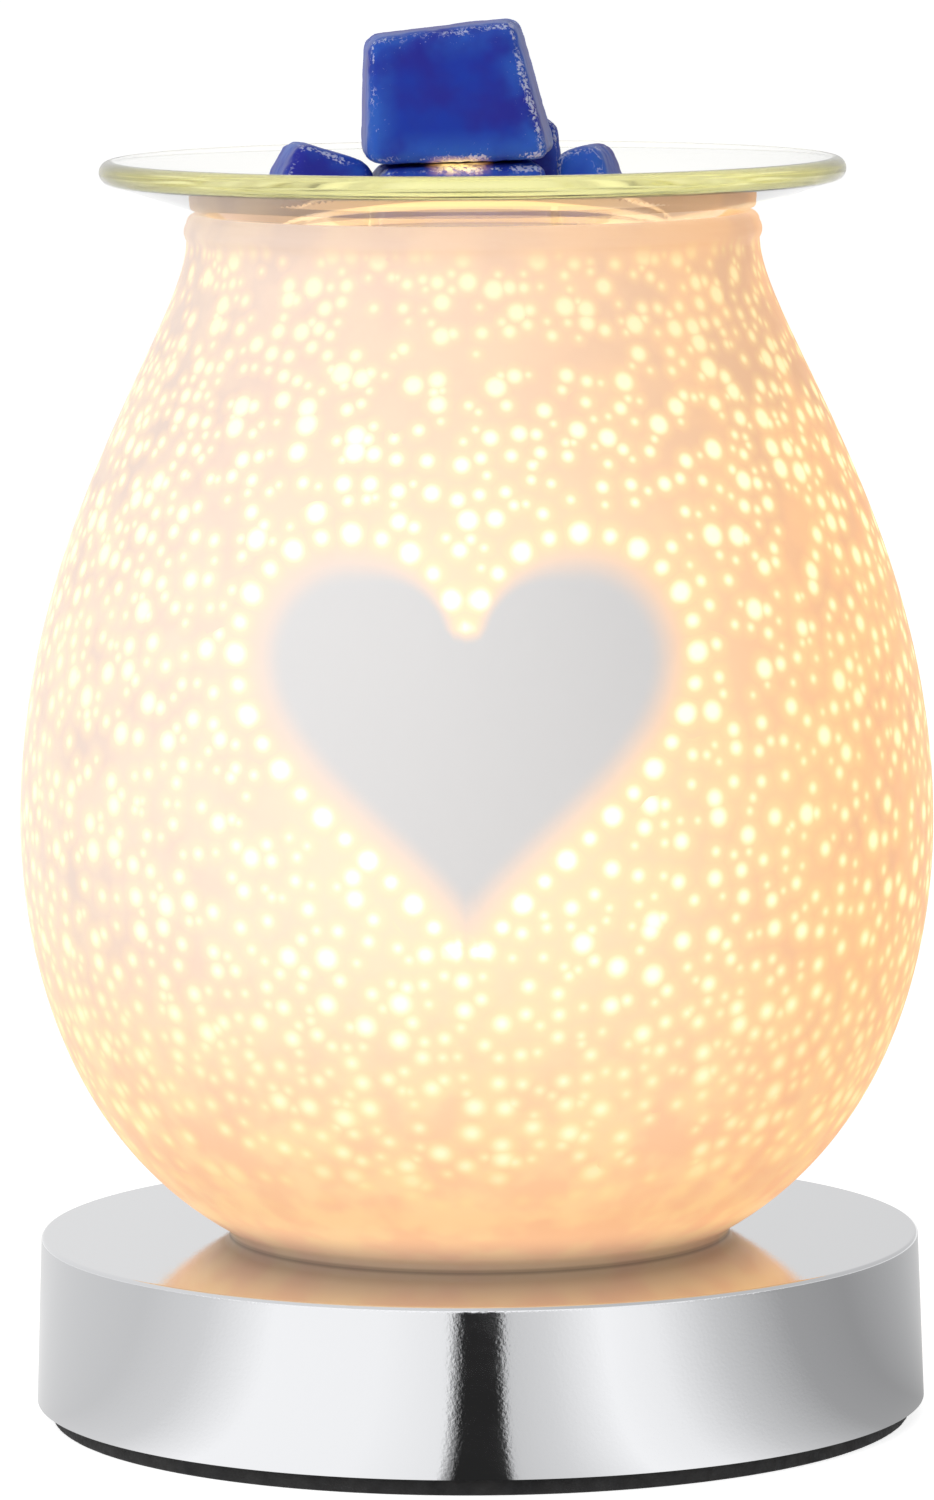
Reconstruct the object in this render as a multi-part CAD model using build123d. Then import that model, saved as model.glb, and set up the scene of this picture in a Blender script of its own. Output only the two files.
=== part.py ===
"""Electric wax melt warmer: a chromed touch base, a lit glass shade and a glass dish of wax melts.

Millimetres, +Z up, the front faces -Y. The origin is the middle of the foot pad's underside.
"""
from build123d import *
import math
import os

# Base shell, pressed from chromed sheet
base_radius = 60.2              # outside, at the lower edge
base_draft = 0.8                # how much narrower the wall is at the top
base_height = 22.5
base_sheet = 0.9
base_edge_radius = 2.0          # rounding of the top edge, outside

# Foot pad and the plate that closes the base
pad_thickness = 4.0
pad_proud = 2.5                 # how far the pad stands below the shell
pad_inset = 1.0                 # the pad's edge, in from the shell's wall
plate_thickness = 1.2
plate_clearance = 0.3

# Posts under the shell's top, and the screws that hold the plate to them
post_count = 3
post_radius = 3.5
post_inset = 9.0                # a post's axis, in from the plate's edge
screw_radius = 1.5
screw_length = 9.0              # under the head
screw_head_radius = 2.8
screw_head_height = 1.8
screw_clearance = 0.3           # round a screw in the plate, and round its head in the pad
thread_clearance = 0.05
tapping_spare = 2.0             # tapped depth past the screw's end

# Rubber gland for the mains cord, at the back
gland_bore = 3.1                # radius
gland_wall = 1.6
gland_flange = 1.8              # how far the flanges stand out from the neck
gland_outer_thickness = 1.4
gland_inner_thickness = 2.0
gland_fit = 0.05

# Hollow threaded stem, with its nut, terminal and washer under the shell's top
stem_radius = 5.0
stem_bore = 3.4
stem_tail = 0.8                 # how far the stem shows below its nut
stem_grip = 8.0                 # how far the stem screws into the lamp holder
stem_hole_clearance = 0.25
nut_flats = 17.0
nut_height = 5.0
washer_radius = 9.0
washer_thickness = 1.0
terminal_thickness = 0.8
terminal_tab = 10.0             # the tab's reach past the washer
terminal_tab_width = 4.0
crimp_length = 6.0
crimp_wall = 0.5

# Lamp holder for a small screw cap, threaded outside for the shade's ring
holder_radius = 14.0
holder_height = 52.0
holder_wall = 2.8
holder_entry = 9.0              # thickness of the bottom that takes the stem
holder_well = 10.0              # room for the wires under the insert
holder_ledge = 1.7              # width of the ledge that carries the insert
holder_pitch = 2.0
holder_thread_depth = 0.6
holder_fit = 0.1
insert_height = 7.0
collar_height = 7.0
shell_sheet = 0.5
shell_flange = 1.9              # width of the threaded shell's foot
contact_rise = 3.0
contact_radius = 3.0
contact_sheet = 0.5
rivet_radius = 1.3
rivet_tail = 2.0

# Bulb
cap_radius = 6.85               # over the thread's crests
cap_pitch = 2.8
cap_thread_depth = 0.6
cap_turns = 4
cap_sheet = 0.35
cap_skirt_radius = 7.6
cap_skirt_height = 5.0
cap_clearance = 0.25            # between the cap and the holder's shell, and under the tip
collar_clearance = 1.0          # between the cap's skirt and the holder's collar
tip_radius = 2.4
tip_height = 1.25
insulator_height = 2.5
insulator_radius = 5.2
bulb_radius = 12.5
bulb_reach = 38.0               # glass above the cap
bulb_glass_wall = 0.7
bulb_sunk = 3.0                 # glass inside the cap's skirt
bulb_fit = 0.1
mount_radius = 1.5
mount_reach = 10.0              # the glass mount's rod above the cap
mount_flare = 1.5               # thickness of the mount's flared foot
support_radius = 0.3
support_spread = 5.5            # half the width of the filament
support_rise = 11.0
filament_radius = 0.2
filament_peak = 2.5

# Gasket under the shade, and the ring with its washer that clamps the shade
gasket_thickness = 0.8
gasket_inset = 0.6              # the gasket's edge, in from the shade's foot
foot_gap = 0.1
ring_washer_thickness = 1.0
ring_washer_width = 6.0
ring_gap = 0.15
ring_clearance = 0.08           # running fit on the holder's thread
ring_wall = 3.2
ring_flange = 4.2               # how far the flange stands out from the hub
ring_flange_thickness = 2.0
ring_height = 7.5
rib_count = 16
rib_width = 1.6
rib_depth = 0.9

# Glass shade
shade_belly_radius = 61.55
shade_belly_height = 55.1       # above the foot
shade_neck_radius = 38.4
shade_neck_height = 133.6       # above the foot
shade_foot_radius = 33.9
shade_wall = 2.6
shade_floor = 2.6
shade_shoulder = 39.7           # pull of the curve above the belly
shade_throat = 11.2             # pull of the curve below the neck
shade_hip = 12.0                # pull of the curve below the belly
shade_heel = 28.7               # pull of the curve out of the foot
shade_heel_angle = 30.3         # rise of the wall at the foot, in degrees
shade_hole_clearance = 0.5      # round the lamp holder
lip_height = 2.3
lip_bulge = 0.35

# Glass dish
dish_radius = 50.0
dish_floor_radius = 25.0
dish_thickness = 3.0
dish_slope = 18.0               # degrees
dish_rim = 1.7                  # radius of the rounded rim
dish_corner = 6.0               # inside radius between floor and slope
dish_gap = 0.25                 # between the dish and the shade's lip

# Touch dimmer in the base
tape_thickness = 1.0
tape_inset = 1.5
dimmer_width = 26.0
dimmer_length = 44.0
dimmer_height = 12.5
dimmer_wall = 1.5
dimmer_offset = 4.0             # between the stem's nut and the case
dimmer_lid = 1.5
board_thickness = 1.6
board_stand = 1.0               # bosses under the board
board_boss_radius = 2.0
board_clearance = 0.4
triac_size = (4.6, 10.0, 5.0)
capacitor_radius = 2.5
chip_size = (6.0, 9.0, 1.8)
part_spacing = 12.0             # between the parts on the board

# Wires and their joints
lead_radius = 0.9
lead_hole_clearance = 0.3
bend_share = 0.45               # share of its shorter run that a bend takes up
lead_spacing = 1.6              # each lamp wire's distance from the stem's axis
lead_end = 2.0                  # wire inside the dimmer's case
pair_spacing = 2.2              # between the two wires in one splice cap
splice_radius = 4.0
splice_wall = 0.8
splice_length = 13.0
splice_grip = 6.0               # wire inside a splice cap
splice_offset = 8.0             # between the stem's nut and the caps
splice_side = 9.0               # each cap's distance from the middle

# Wax melts: width, depth and height, then taper and edge rounding
wax_top_size = (25.0, 23.0, 16.6)
wax_under_size = (21.0, 22.0, 8.3)
wax_left_size = (9.4, 16.0, 7.2)
wax_right_size = (6.4, 14.0, 7.6)
wax_back_size = (18.0, 10.0, 11.6)
wax_taper = 7.5                 # degrees
wax_round = 1.2
wax_gap = 0.2                   # under each melt
wax_clearance = 0.3             # beside each melt
wax_top_tilt = 6.0              # degrees, like the other tilts and turns
wax_top_turn = -3.5
wax_under_turn = 4.0
wax_left_tilt = 19.0
wax_left_turn = 10.0
wax_right_tilt = 12.0
wax_right_turn = -12.0
wax_back_turn = 6.0
wax_top_place = (-1.9, -1.5)    # middle of the melts that lie under and on top
wax_left_side = -2.0            # place of a melt along the side it leans on
wax_right_side = 1.0
wax_back_side = 4.0

# Heights worked out from the sizes above
shell_low = pad_proud
shell_top = pad_proud + base_height
shell_under = shell_top - base_sheet
plate_low = pad_thickness
plate_top = plate_low + plate_thickness
washer_low = shell_under - washer_thickness
terminal_low = washer_low - terminal_thickness
nut_low = terminal_low - nut_height
stem_low = nut_low - stem_tail
stem_top = shell_top + stem_grip
holder_top = shell_top + holder_height
well_low = shell_top + holder_entry
insert_low = well_low + holder_well
insert_top = insert_low + insert_height
collar_low = holder_top - collar_height
tip_low = insert_top + contact_rise + cap_clearance
insulator_low = tip_low + tip_height
cap_low = insulator_low + insulator_height
skirt_low = collar_low + cap_clearance
cap_top = skirt_low + cap_skirt_height
bulb_top = cap_top + bulb_reach
gasket_top = shell_top + gasket_thickness
foot_low = gasket_top + foot_gap
foot_top = foot_low + shade_floor
belly_z = foot_low + shade_belly_height
neck_z = foot_low + shade_neck_height
lip_z = neck_z + lip_height
ring_low = foot_top + ring_washer_thickness + ring_gap

# Radii worked out from the sizes above
nut_corner = nut_flats / 2 / math.cos(math.radians(30))
cavity_radius = holder_radius - holder_wall
well_radius = cavity_radius - holder_ledge
sleeve_radius = cap_radius + cap_clearance
collar_bore = cap_skirt_radius + collar_clearance
shade_hole = holder_radius + shade_hole_clearance
ring_bore = holder_radius + ring_clearance
ring_hub = ring_bore + ring_wall

BOTTOM = (Align.CENTER, Align.CENTER, Align.MIN)


def pillar(radius, low, high, x=0.0, y=0.0):
    """Upright round bar."""
    return Pos(x, y, low) * Cylinder(radius, high - low, align=BOTTOM)


def washer(outer, inner, low, high, x=0.0, y=0.0):
    """Upright ring."""
    return pillar(outer, low, high, x, y) - pillar(inner, low, high, x, y)


def block(size_x, size_y, low, high, x=0.0, y=0.0):
    """Upright box."""
    return Pos(x, y, low) * Box(size_x, size_y, high - low, align=BOTTOM)


def bar_y(radius, start, end, x, z):
    """Round bar along +Y."""
    return Pos(x, start, z) * Rot(-90, 0, 0) * Cylinder(radius, end - start, align=BOTTOM)


def bar_x(radius, start, end, y, z):
    """Round bar along +X."""
    return Pos(start, y, z) * Rot(0, 90, 0) * Cylinder(radius, end - start, align=BOTTOM)


def turned(*outline):
    """Solid turned about Z from a closed outline of (radius, height) lines and curves."""
    return revolve(Plane.XZ * make_face(outline), axis=Axis.Z)


def wire_tube(points, radius):
    """Round tube along straight runs, with each corner as wide as its two runs allow."""
    spots = [Vector(*point) for point in points]
    runs = [end - start for start, end in zip(spots, spots[1:])]
    bends = []
    for before, after in zip(runs, runs[1:]):
        half_turn = math.radians(before.get_angle(after)) / 2
        bends.append(bend_share * min(before.length, after.length) / math.tan(half_turn))
    path = FilletPolyline(*spots, radius=bends)
    section = Plane(origin=path @ 0, z_dir=path % 0) * Circle(radius)
    return sweep(section, path=path)


def thread_outline(radius, depth, pitch, low, turns):
    """Points of a thread's profile, crest and root in turn, drawn as plain rings."""
    points = []
    for turn in range(turns):
        start = low + turn * pitch
        points += [(radius - depth, start), (radius, start + pitch / 2)]
    points.append((radius - depth, low + turns * pitch))
    return points


def shell_radius(height):
    """Outside radius of the base shell's wall at a height."""
    return base_radius - base_draft * (height - shell_low) / base_height


def shell_envelope(change):
    """Solid inside of the base shell's outer wall, grown or shrunk by a distance."""
    return turned(Polyline(
        (0, shell_low), (base_radius + change, shell_low),
        (shell_radius(shell_top) + change, shell_top), (0, shell_top), close=True))


# Base shell: top, rolled edge and wall, with holes for the stem and the gland
stem_hole = stem_radius + stem_hole_clearance
gland_z = (shell_low + shell_top) / 2
gland_neck = gland_bore + gland_wall
wall_outside = shell_radius(gland_z)
wall_inside = wall_outside - base_sheet
top_radius = shell_radius(shell_top)
base_outside = FilletPolyline(
    (base_radius, shell_low), (top_radius, shell_top), (stem_hole, shell_top),
    radius=[base_edge_radius])
base_inside = FilletPolyline(
    (stem_hole, shell_under), (top_radius - base_sheet, shell_under),
    (base_radius - base_sheet, shell_low),
    radius=[max(base_edge_radius - base_sheet, base_sheet / 2)])
base_shell = turned(
    base_outside, Line((stem_hole, shell_top), (stem_hole, shell_under)),
    base_inside, Line((base_radius - base_sheet, shell_low), (base_radius, shell_low)))
base_shell -= bar_y(
    gland_neck + gland_fit, wall_inside - base_edge_radius, base_radius + base_sheet, 0, gland_z)

# Plate, pad, posts and screws
plate_radius = shell_radius(plate_top) - base_sheet - plate_clearance
pad_radius = base_radius - base_sheet - pad_inset
post_ring = plate_radius - post_inset
post_spots = [location.position for location in PolarLocations(post_ring, post_count)]
head_low = plate_low - screw_head_height
screw_top = plate_low + screw_length
base_plate = pillar(plate_radius, plate_low, plate_top)
base_pad = pillar(pad_radius, 0, pad_thickness)
posts = []
screws = []
for spot in post_spots:
    base_plate -= pillar(screw_radius + screw_clearance, plate_low, plate_top, spot.X, spot.Y)
    base_pad -= pillar(
        screw_head_radius + screw_clearance, head_low - screw_clearance, pad_thickness, spot.X, spot.Y)
    posts.append(
        pillar(post_radius, plate_top, shell_under, spot.X, spot.Y)
        - pillar(screw_radius + thread_clearance, plate_top, screw_top + tapping_spare, spot.X, spot.Y))
    screws.append(
        pillar(screw_head_radius, head_low, plate_low, spot.X, spot.Y)
        + pillar(screw_radius, plate_low, screw_top, spot.X, spot.Y))
plate_posts = Compound([post.solid() for post in posts])
plate_screws = Compound([screw.solid() for screw in screws])

# Rubber gland: a neck through the wall between two flanges that follow the wall's curve
gland_out = wall_outside + gland_outer_thickness
gland_in = wall_inside - gland_inner_thickness
gland_outer = bar_y(gland_neck + gland_flange, wall_inside, gland_out, 0, gland_z)
gland_outer -= shell_envelope(gland_fit)
gland_inner = bar_y(gland_neck + gland_flange, gland_in, wall_outside, 0, gland_z)
gland_inner &= shell_envelope(-base_sheet - gland_fit)
cord_gland = gland_outer + gland_inner + bar_y(gland_neck, gland_in, wall_outside, 0, gland_z)
cord_gland -= bar_y(gland_bore, gland_in, gland_out, 0, gland_z)

# Stem with its washer, terminal and nut
stem_tube = washer(stem_radius, stem_bore, stem_low, stem_top)
stem_washer = washer(washer_radius, stem_radius + thread_clearance, washer_low, shell_under)
nut_blank = extrude(RegularPolygon(nut_flats / 2, 6, major_radius=False), nut_height)
stem_nut = Pos(0, 0, nut_low) * nut_blank - pillar(stem_radius + thread_clearance, nut_low, terminal_low)
tab_end = washer_radius + terminal_tab
crimp_radius = lead_radius + thread_clearance + crimp_wall
crimp_z = terminal_low - crimp_radius + crimp_wall
touch_terminal = pillar(washer_radius, terminal_low, washer_low)
touch_terminal += block(terminal_tab_width, tab_end, terminal_low, washer_low, 0, tab_end / 2)
touch_terminal += bar_y(crimp_radius, tab_end - crimp_length, tab_end, 0, crimp_z)
touch_terminal -= bar_y(lead_radius + thread_clearance, tab_end - crimp_length, tab_end, 0, crimp_z)
touch_terminal -= pillar(stem_radius + thread_clearance, terminal_low, washer_low)

# Lamp holder: threaded body, insert, threaded shell, middle contact, side terminal and collar
thread_low = shell_top + holder_pitch
thread_turns = int((holder_height - 3 * holder_pitch) / holder_pitch)
holder_thread = thread_outline(holder_radius, holder_thread_depth, holder_pitch, thread_low, thread_turns)
holder_core = holder_radius - holder_thread_depth
holder_body = turned(Polyline(
    (stem_radius + thread_clearance, shell_top), (holder_core, shell_top), *holder_thread,
    (holder_core, holder_top), (cavity_radius, holder_top), (cavity_radius, insert_low),
    (well_radius, insert_low), (well_radius, well_low), (stem_radius + thread_clearance, well_low),
    close=True))
side_pin = sleeve_radius + shell_sheet
holder_insert = pillar(cavity_radius - holder_fit, insert_low, insert_top)
holder_insert -= pillar(rivet_radius + thread_clearance, insert_low, insert_top)
holder_insert -= pillar(rivet_radius + thread_clearance, insert_low, insert_top, side_pin)
holder_shell = washer(sleeve_radius + shell_sheet, sleeve_radius, insert_top, collar_low)
holder_shell += washer(
    sleeve_radius + shell_sheet + shell_flange, sleeve_radius, insert_top, insert_top + shell_sheet)
contact_top = insert_top + contact_rise
holder_contact = pillar(rivet_radius, insert_low - rivet_tail, contact_top - contact_sheet)
holder_contact += pillar(contact_radius, insert_top, insert_top + contact_sheet)
holder_contact += pillar(contact_radius, contact_top - contact_sheet, contact_top)
holder_terminal = pillar(rivet_radius, insert_low - rivet_tail, insert_top, side_pin)
holder_collar = washer(cavity_radius - holder_fit, collar_bore, collar_low, holder_top)

# Bulb cap, insulator and contact tip
cap_core = cap_radius - cap_thread_depth
cap_outside = thread_outline(cap_radius, cap_thread_depth, cap_pitch, cap_low, cap_turns)
cap_inside = [(radius - cap_sheet, height) for radius, height in reversed(cap_outside)]
skirt_inside = cap_skirt_radius - cap_sheet
skirt_seat = skirt_low + cap_sheet
bulb_cap = turned(Polyline(
    *cap_outside, (cap_core, skirt_low), (cap_skirt_radius, skirt_low), (cap_skirt_radius, cap_top),
    (skirt_inside, cap_top), (skirt_inside, skirt_seat), (cap_core - cap_sheet, skirt_seat),
    *cap_inside, close=True))
bulb_insulator = turned(Polyline(
    (0, insulator_low), (tip_radius, insulator_low), (insulator_radius, cap_low), (0, cap_low), close=True))
bulb_contact = turned(
    Line((0, tip_low), (0, insulator_low)), Line((0, insulator_low), (tip_radius, insulator_low)),
    Bezier((tip_radius, insulator_low), (tip_radius, tip_low), (0, tip_low)))

# Bulb glass: a neck in the cap that swells into a round end
glass_neck = skirt_inside - bulb_fit
glass_low = cap_top - bulb_sunk
glass_middle = bulb_top - bulb_radius
swell = (glass_middle - cap_top) / 2


def bulb_outline(inset):
    """Half outline of the bulb's glass, from its neck to the top on the axis."""
    neck = glass_neck - inset
    radius = bulb_radius - inset
    rise = math.sqrt(0.5) * radius
    return [
        Line((neck, glass_low), (neck, cap_top)),
        Bezier(
            (neck, cap_top), (neck, cap_top + swell), (radius, glass_middle - swell), (radius, glass_middle)),
        ThreePointArc((radius, glass_middle), (rise, glass_middle + rise), (0, glass_middle + radius)),
    ]


bulb_glass = turned(
    *bulb_outline(0), Line((0, bulb_top), (0, bulb_top - bulb_glass_wall)),
    *bulb_outline(bulb_glass_wall), Line((glass_neck - bulb_glass_wall, glass_low), (glass_neck, glass_low)))

# Glass mount, wire supports and filament
flare_radius = glass_neck - bulb_glass_wall - bulb_fit
mount_top = cap_top + mount_reach
support_top = mount_top + support_rise
bulb_mount = pillar(flare_radius, glass_low, glass_low + mount_flare)
bulb_mount += pillar(mount_radius, glass_low, mount_top)
supports = []
for side in (-1, 1):
    foot = side * mount_radius / 2
    tip = side * support_spread
    supports.append(wire_tube(
        [(foot, 0, mount_top), (foot, 0, mount_top + support_rise / 3), (tip, 0, support_top)],
        support_radius))
bulb_leads = Compound([support.solid() for support in supports])
filament_half = support_spread / 2
bulb_filament = wire_tube(
    [(-support_spread, 0, support_top), (-filament_half, 0, support_top + filament_peak),
     (0, 0, support_top), (filament_half, 0, support_top + filament_peak), (support_spread, 0, support_top)],
    filament_radius)

# Shade: belly and neck curves outside and inside, a rounded lip and a holed floor
heel = math.radians(shade_heel_angle)
heel_along = (math.cos(heel), math.sin(heel))
heel_inward = (-shade_wall * math.sin(heel), shade_wall * math.cos(heel))
floor_step = (shade_floor - heel_inward[1]) / heel_along[1]


def shade_outline(inset):
    """The shade's wall, from the foot's edge up to the neck, at a distance in from its outside."""
    share = inset / shade_wall
    foot_x = shade_foot_radius + share * (heel_inward[0] + floor_step * heel_along[0])
    foot_z = foot_low + share * shade_floor
    pull_x = shade_foot_radius + shade_heel * heel_along[0] + share * heel_inward[0]
    pull_z = foot_low + shade_heel * heel_along[1] + share * heel_inward[1]
    belly = shade_belly_radius - inset
    neck = shade_neck_radius - inset
    return [
        Bezier((foot_x, foot_z), (pull_x, pull_z), (belly, belly_z - shade_hip), (belly, belly_z)),
        Bezier(
            (belly, belly_z), (belly, belly_z + shade_shoulder),
            (neck, neck_z - shade_throat), (neck, neck_z)),
    ]


lip_radius = shade_wall / 2
lip_middle = shade_neck_radius - lip_radius
neck_inside = shade_neck_radius - shade_wall
shade_outside = shade_outline(0)
shade_inside = shade_outline(shade_wall)
foot_inside = shade_inside[0] @ 0
glass_shade = turned(
    Line((shade_hole, foot_low), (shade_foot_radius, foot_low)),
    *shade_outside,
    ThreePointArc(
        (shade_neck_radius, neck_z), (shade_neck_radius + lip_bulge, neck_z + lip_height / 2),
        (shade_neck_radius, lip_z)),
    ThreePointArc((shade_neck_radius, lip_z), (lip_middle, lip_z + lip_radius), (neck_inside, lip_z)),
    Line((neck_inside, lip_z), (neck_inside, neck_z)),
    *shade_inside,
    Line((foot_inside.X, foot_inside.Y), (shade_hole, foot_top)),
    Line((shade_hole, foot_top), (shade_hole, foot_low)))
shade_gasket = washer(shade_foot_radius - gasket_inset, shade_hole, shell_top, gasket_top)

# Ring washer and the ribbed ring that clamps the shade
ring_washer = washer(shade_hole + ring_washer_width, shade_hole, foot_top, foot_top + ring_washer_thickness)
flange_top = ring_low + ring_flange_thickness
ring_top = ring_low + ring_height
shade_ring = pillar(ring_hub + ring_flange, ring_low, flange_top) + pillar(ring_hub, flange_top, ring_top)
rib = Pos(0, 0, flange_top) * Box(2 * rib_depth, rib_width, ring_top - flange_top, align=BOTTOM)
for spot in PolarLocations(ring_hub, rib_count):
    shade_ring += spot * rib
shade_ring -= pillar(ring_bore, ring_low, ring_top)

# Dish: a flat floor and a sloping wall with a rounded rim, seated on the shade's lip
slope = math.radians(dish_slope)
dish_under_lip = lip_z + (lip_radius + dish_gap) / math.cos(slope)
dish_low = dish_under_lip - (lip_middle - dish_floor_radius) * math.tan(slope)
dish_lift = dish_thickness / math.cos(slope)
dish_floor_z = dish_low + dish_thickness
rim_middle = dish_radius - dish_rim
rim_under = dish_low + (rim_middle - dish_floor_radius) * math.tan(slope)
rim_over = rim_under + dish_lift
rim_z = (rim_under + rim_over) / 2
inner_corner = dish_floor_radius - dish_thickness * math.tan(slope / 2)
glass_dish = turned(
    FilletPolyline(
        (0, dish_low), (dish_floor_radius, dish_low), (rim_middle, rim_under),
        radius=[dish_corner + dish_thickness]),
    ThreePointArc((rim_middle, rim_under), (dish_radius, rim_z), (rim_middle, rim_over)),
    FilletPolyline(
        (rim_middle, rim_over), (inner_corner, dish_floor_z), (0, dish_floor_z), radius=[dish_corner]),
    Line((0, dish_floor_z), (0, dish_low)))


def dish_surface(radius):
    """Height of the dish's inside at a distance from its middle."""
    return dish_floor_z + max(0.0, radius - inner_corner) * math.tan(slope)


def melt_blank(size, tilt=0.0, turn=0.0):
    """A moulded melt with sharp edges, tapered upwards, leaned about Y and turned about Z."""
    width, depth, height = size
    return Rot(0, 0, turn) * Rot(0, tilt, 0) * extrude(Rectangle(width, depth), height, taper=wax_taper)


def seated(melt):
    """The melt, set down on the inside of the dish."""
    need = [dish_surface(math.hypot(corner.X, corner.Y)) - corner.Z for corner in melt.vertices()]
    return Pos(0, 0, max(need) + wax_gap) * melt


def softened(melt):
    """The melt with its edges rounded."""
    return fillet(melt.edges(), wax_round)


# Wax melts: one lies in the middle, cut to a slant, one stands on its slant, three lean round them
under_width, under_depth, under_height = wax_under_size
under_tall = melt_blank((under_width, under_depth, 2 * under_height), turn=wax_under_turn)
under_tall = seated(Pos(*wax_top_place, 0) * under_tall)
slant_z = under_tall.bounding_box().min.Z + under_height
slant = Pos(*wax_top_place, slant_z) * Rot(0, 0, wax_top_turn) * Rot(0, -wax_top_tilt, 0)
under_blank = split(under_tall, bisect_by=Plane(slant), keep=Keep.BOTTOM)
top_blank = slant * Pos(0, 0, wax_gap) * melt_blank(wax_top_size)
top_box = top_blank.bounding_box()
left_loose = melt_blank(wax_left_size, wax_left_tilt, wax_left_turn)
left_x = top_box.min.X - wax_clearance - left_loose.bounding_box().max.X
left_blank = seated(Pos(left_x, wax_left_side, 0) * left_loose)
right_loose = melt_blank(wax_right_size, -wax_right_tilt, wax_right_turn)
right_x = top_box.max.X + wax_clearance - right_loose.bounding_box().min.X
right_blank = seated(Pos(right_x, wax_right_side, 0) * right_loose)
back_loose = melt_blank(wax_back_size, turn=wax_back_turn)
back_y = top_box.max.Y + wax_clearance - back_loose.bounding_box().min.Y
back_blank = seated(Pos(wax_back_side, back_y, 0) * back_loose)

# Touch dimmer: case on its tape, bosses, board with its parts, lid
dimmer_x = -(nut_corner + dimmer_offset + dimmer_width / 2)
case_low = plate_top + tape_thickness
case_top = case_low + dimmer_height
case_floor = case_low + dimmer_wall
board_low = case_floor + board_stand
board_top = board_low + board_thickness
room_width = dimmer_width - 2 * dimmer_wall
room_length = dimmer_length - 2 * dimmer_wall
lead_z = board_top + lead_radius
wall_x = dimmer_x + dimmer_width / 2
wall_y = dimmer_length / 2
lead_hole = lead_radius + lead_hole_clearance
dimmer_tape = block(
    dimmer_width - 2 * tape_inset, dimmer_length - 2 * tape_inset, plate_top, case_low, dimmer_x)
dimmer_case = block(dimmer_width, dimmer_length, case_low, case_top, dimmer_x)
dimmer_case -= block(room_width, room_length, case_floor, case_top, dimmer_x)
for spot in GridLocations(room_width - 2 * board_boss_radius, room_length - 2 * board_boss_radius, 2, 2):
    boss = spot.position
    dimmer_case += pillar(board_boss_radius, case_floor, board_low, dimmer_x + boss.X, boss.Y)
for lead_y in (-splice_side, 0, splice_side):
    dimmer_case -= bar_x(lead_hole, wall_x - dimmer_wall, wall_x, lead_y, lead_z)
dimmer_case -= bar_y(lead_hole, wall_y - dimmer_wall, wall_y, dimmer_x, lead_z)
dimmer_board = block(
    room_width - 2 * board_clearance, room_length - 2 * board_clearance, board_low, board_top, dimmer_x)
part_x = dimmer_x - room_width / 4
triac = block(triac_size[0], triac_size[1], board_top, board_top + triac_size[2], part_x, -part_spacing)
capacitor = pillar(capacitor_radius, board_top, board_top + triac_size[2], part_x)
chip = block(chip_size[0], chip_size[1], board_top, board_top + chip_size[2], part_x, part_spacing)
dimmer_components = Compound([triac.solid(), capacitor.solid(), chip.solid()])
dimmer_lid_plate = block(dimmer_width, dimmer_length, case_top, case_top + dimmer_lid, dimmer_x)

# Splice caps on the plate, closed at the far end
splice_x = nut_corner + splice_offset
splice_z = plate_top + splice_radius
splices = []
for side in (-1, 1):
    cap_y = side * splice_side
    hollow_end = splice_x + splice_length - splice_wall
    cap = bar_x(splice_radius, splice_x, splice_x + splice_length, cap_y, splice_z)
    splices.append(cap - bar_x(splice_radius - splice_wall, splice_x, hollow_end, cap_y, splice_z))
splice_caps = Compound([cap.solid() for cap in splices])

# Wires: two up the stem to the holder, three from the dimmer to its joints
holder_wire_top = insert_low - rivet_tail
well_turn = well_low + holder_well / 4
inside_case = wall_x - dimmer_wall - lead_end
inside_splice = splice_x + splice_grip
pair_y = splice_side - pair_spacing / 2
far_y = splice_side + pair_spacing / 2
lead_live = wire_tube(
    [(0, 0, holder_wire_top), (0, 0, holder_wire_top - lead_spacing), (-lead_spacing, 0, well_turn),
     (-lead_spacing, 0, lead_z), (inside_case, 0, lead_z)], lead_radius)
lead_neutral = wire_tube(
    [(side_pin, 0, holder_wire_top), (side_pin, 0, holder_wire_top - lead_spacing),
     (lead_spacing, 0, well_turn), (lead_spacing, 0, splice_z), (splice_x - lead_spacing, pair_y, splice_z),
     (inside_splice, pair_y, splice_z)], lead_radius)
lead_dimmer_neutral = wire_tube(
    [(inside_case, splice_side, lead_z), (-lead_spacing, splice_side, lead_z),
     (splice_x / 2, far_y, splice_z), (inside_splice, far_y, splice_z)], lead_radius)
lead_supply = wire_tube(
    [(inside_case, -splice_side, lead_z), (-lead_spacing, -splice_side, lead_z),
     (splice_x / 2, -far_y, splice_z), (inside_splice, -far_y, splice_z)], lead_radius)
touch_out = tab_end + crimp_length
touch_side = wall_y + crimp_length
lead_touch = wire_tube(
    [(0, tab_end - crimp_length, crimp_z), (0, touch_out, crimp_z),
     (dimmer_x / 2, touch_side + crimp_length, (crimp_z + lead_z) / 2), (dimmer_x, touch_side, lead_z),
     (dimmer_x, wall_y - dimmer_wall - lead_end, lead_z)], lead_radius)

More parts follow.
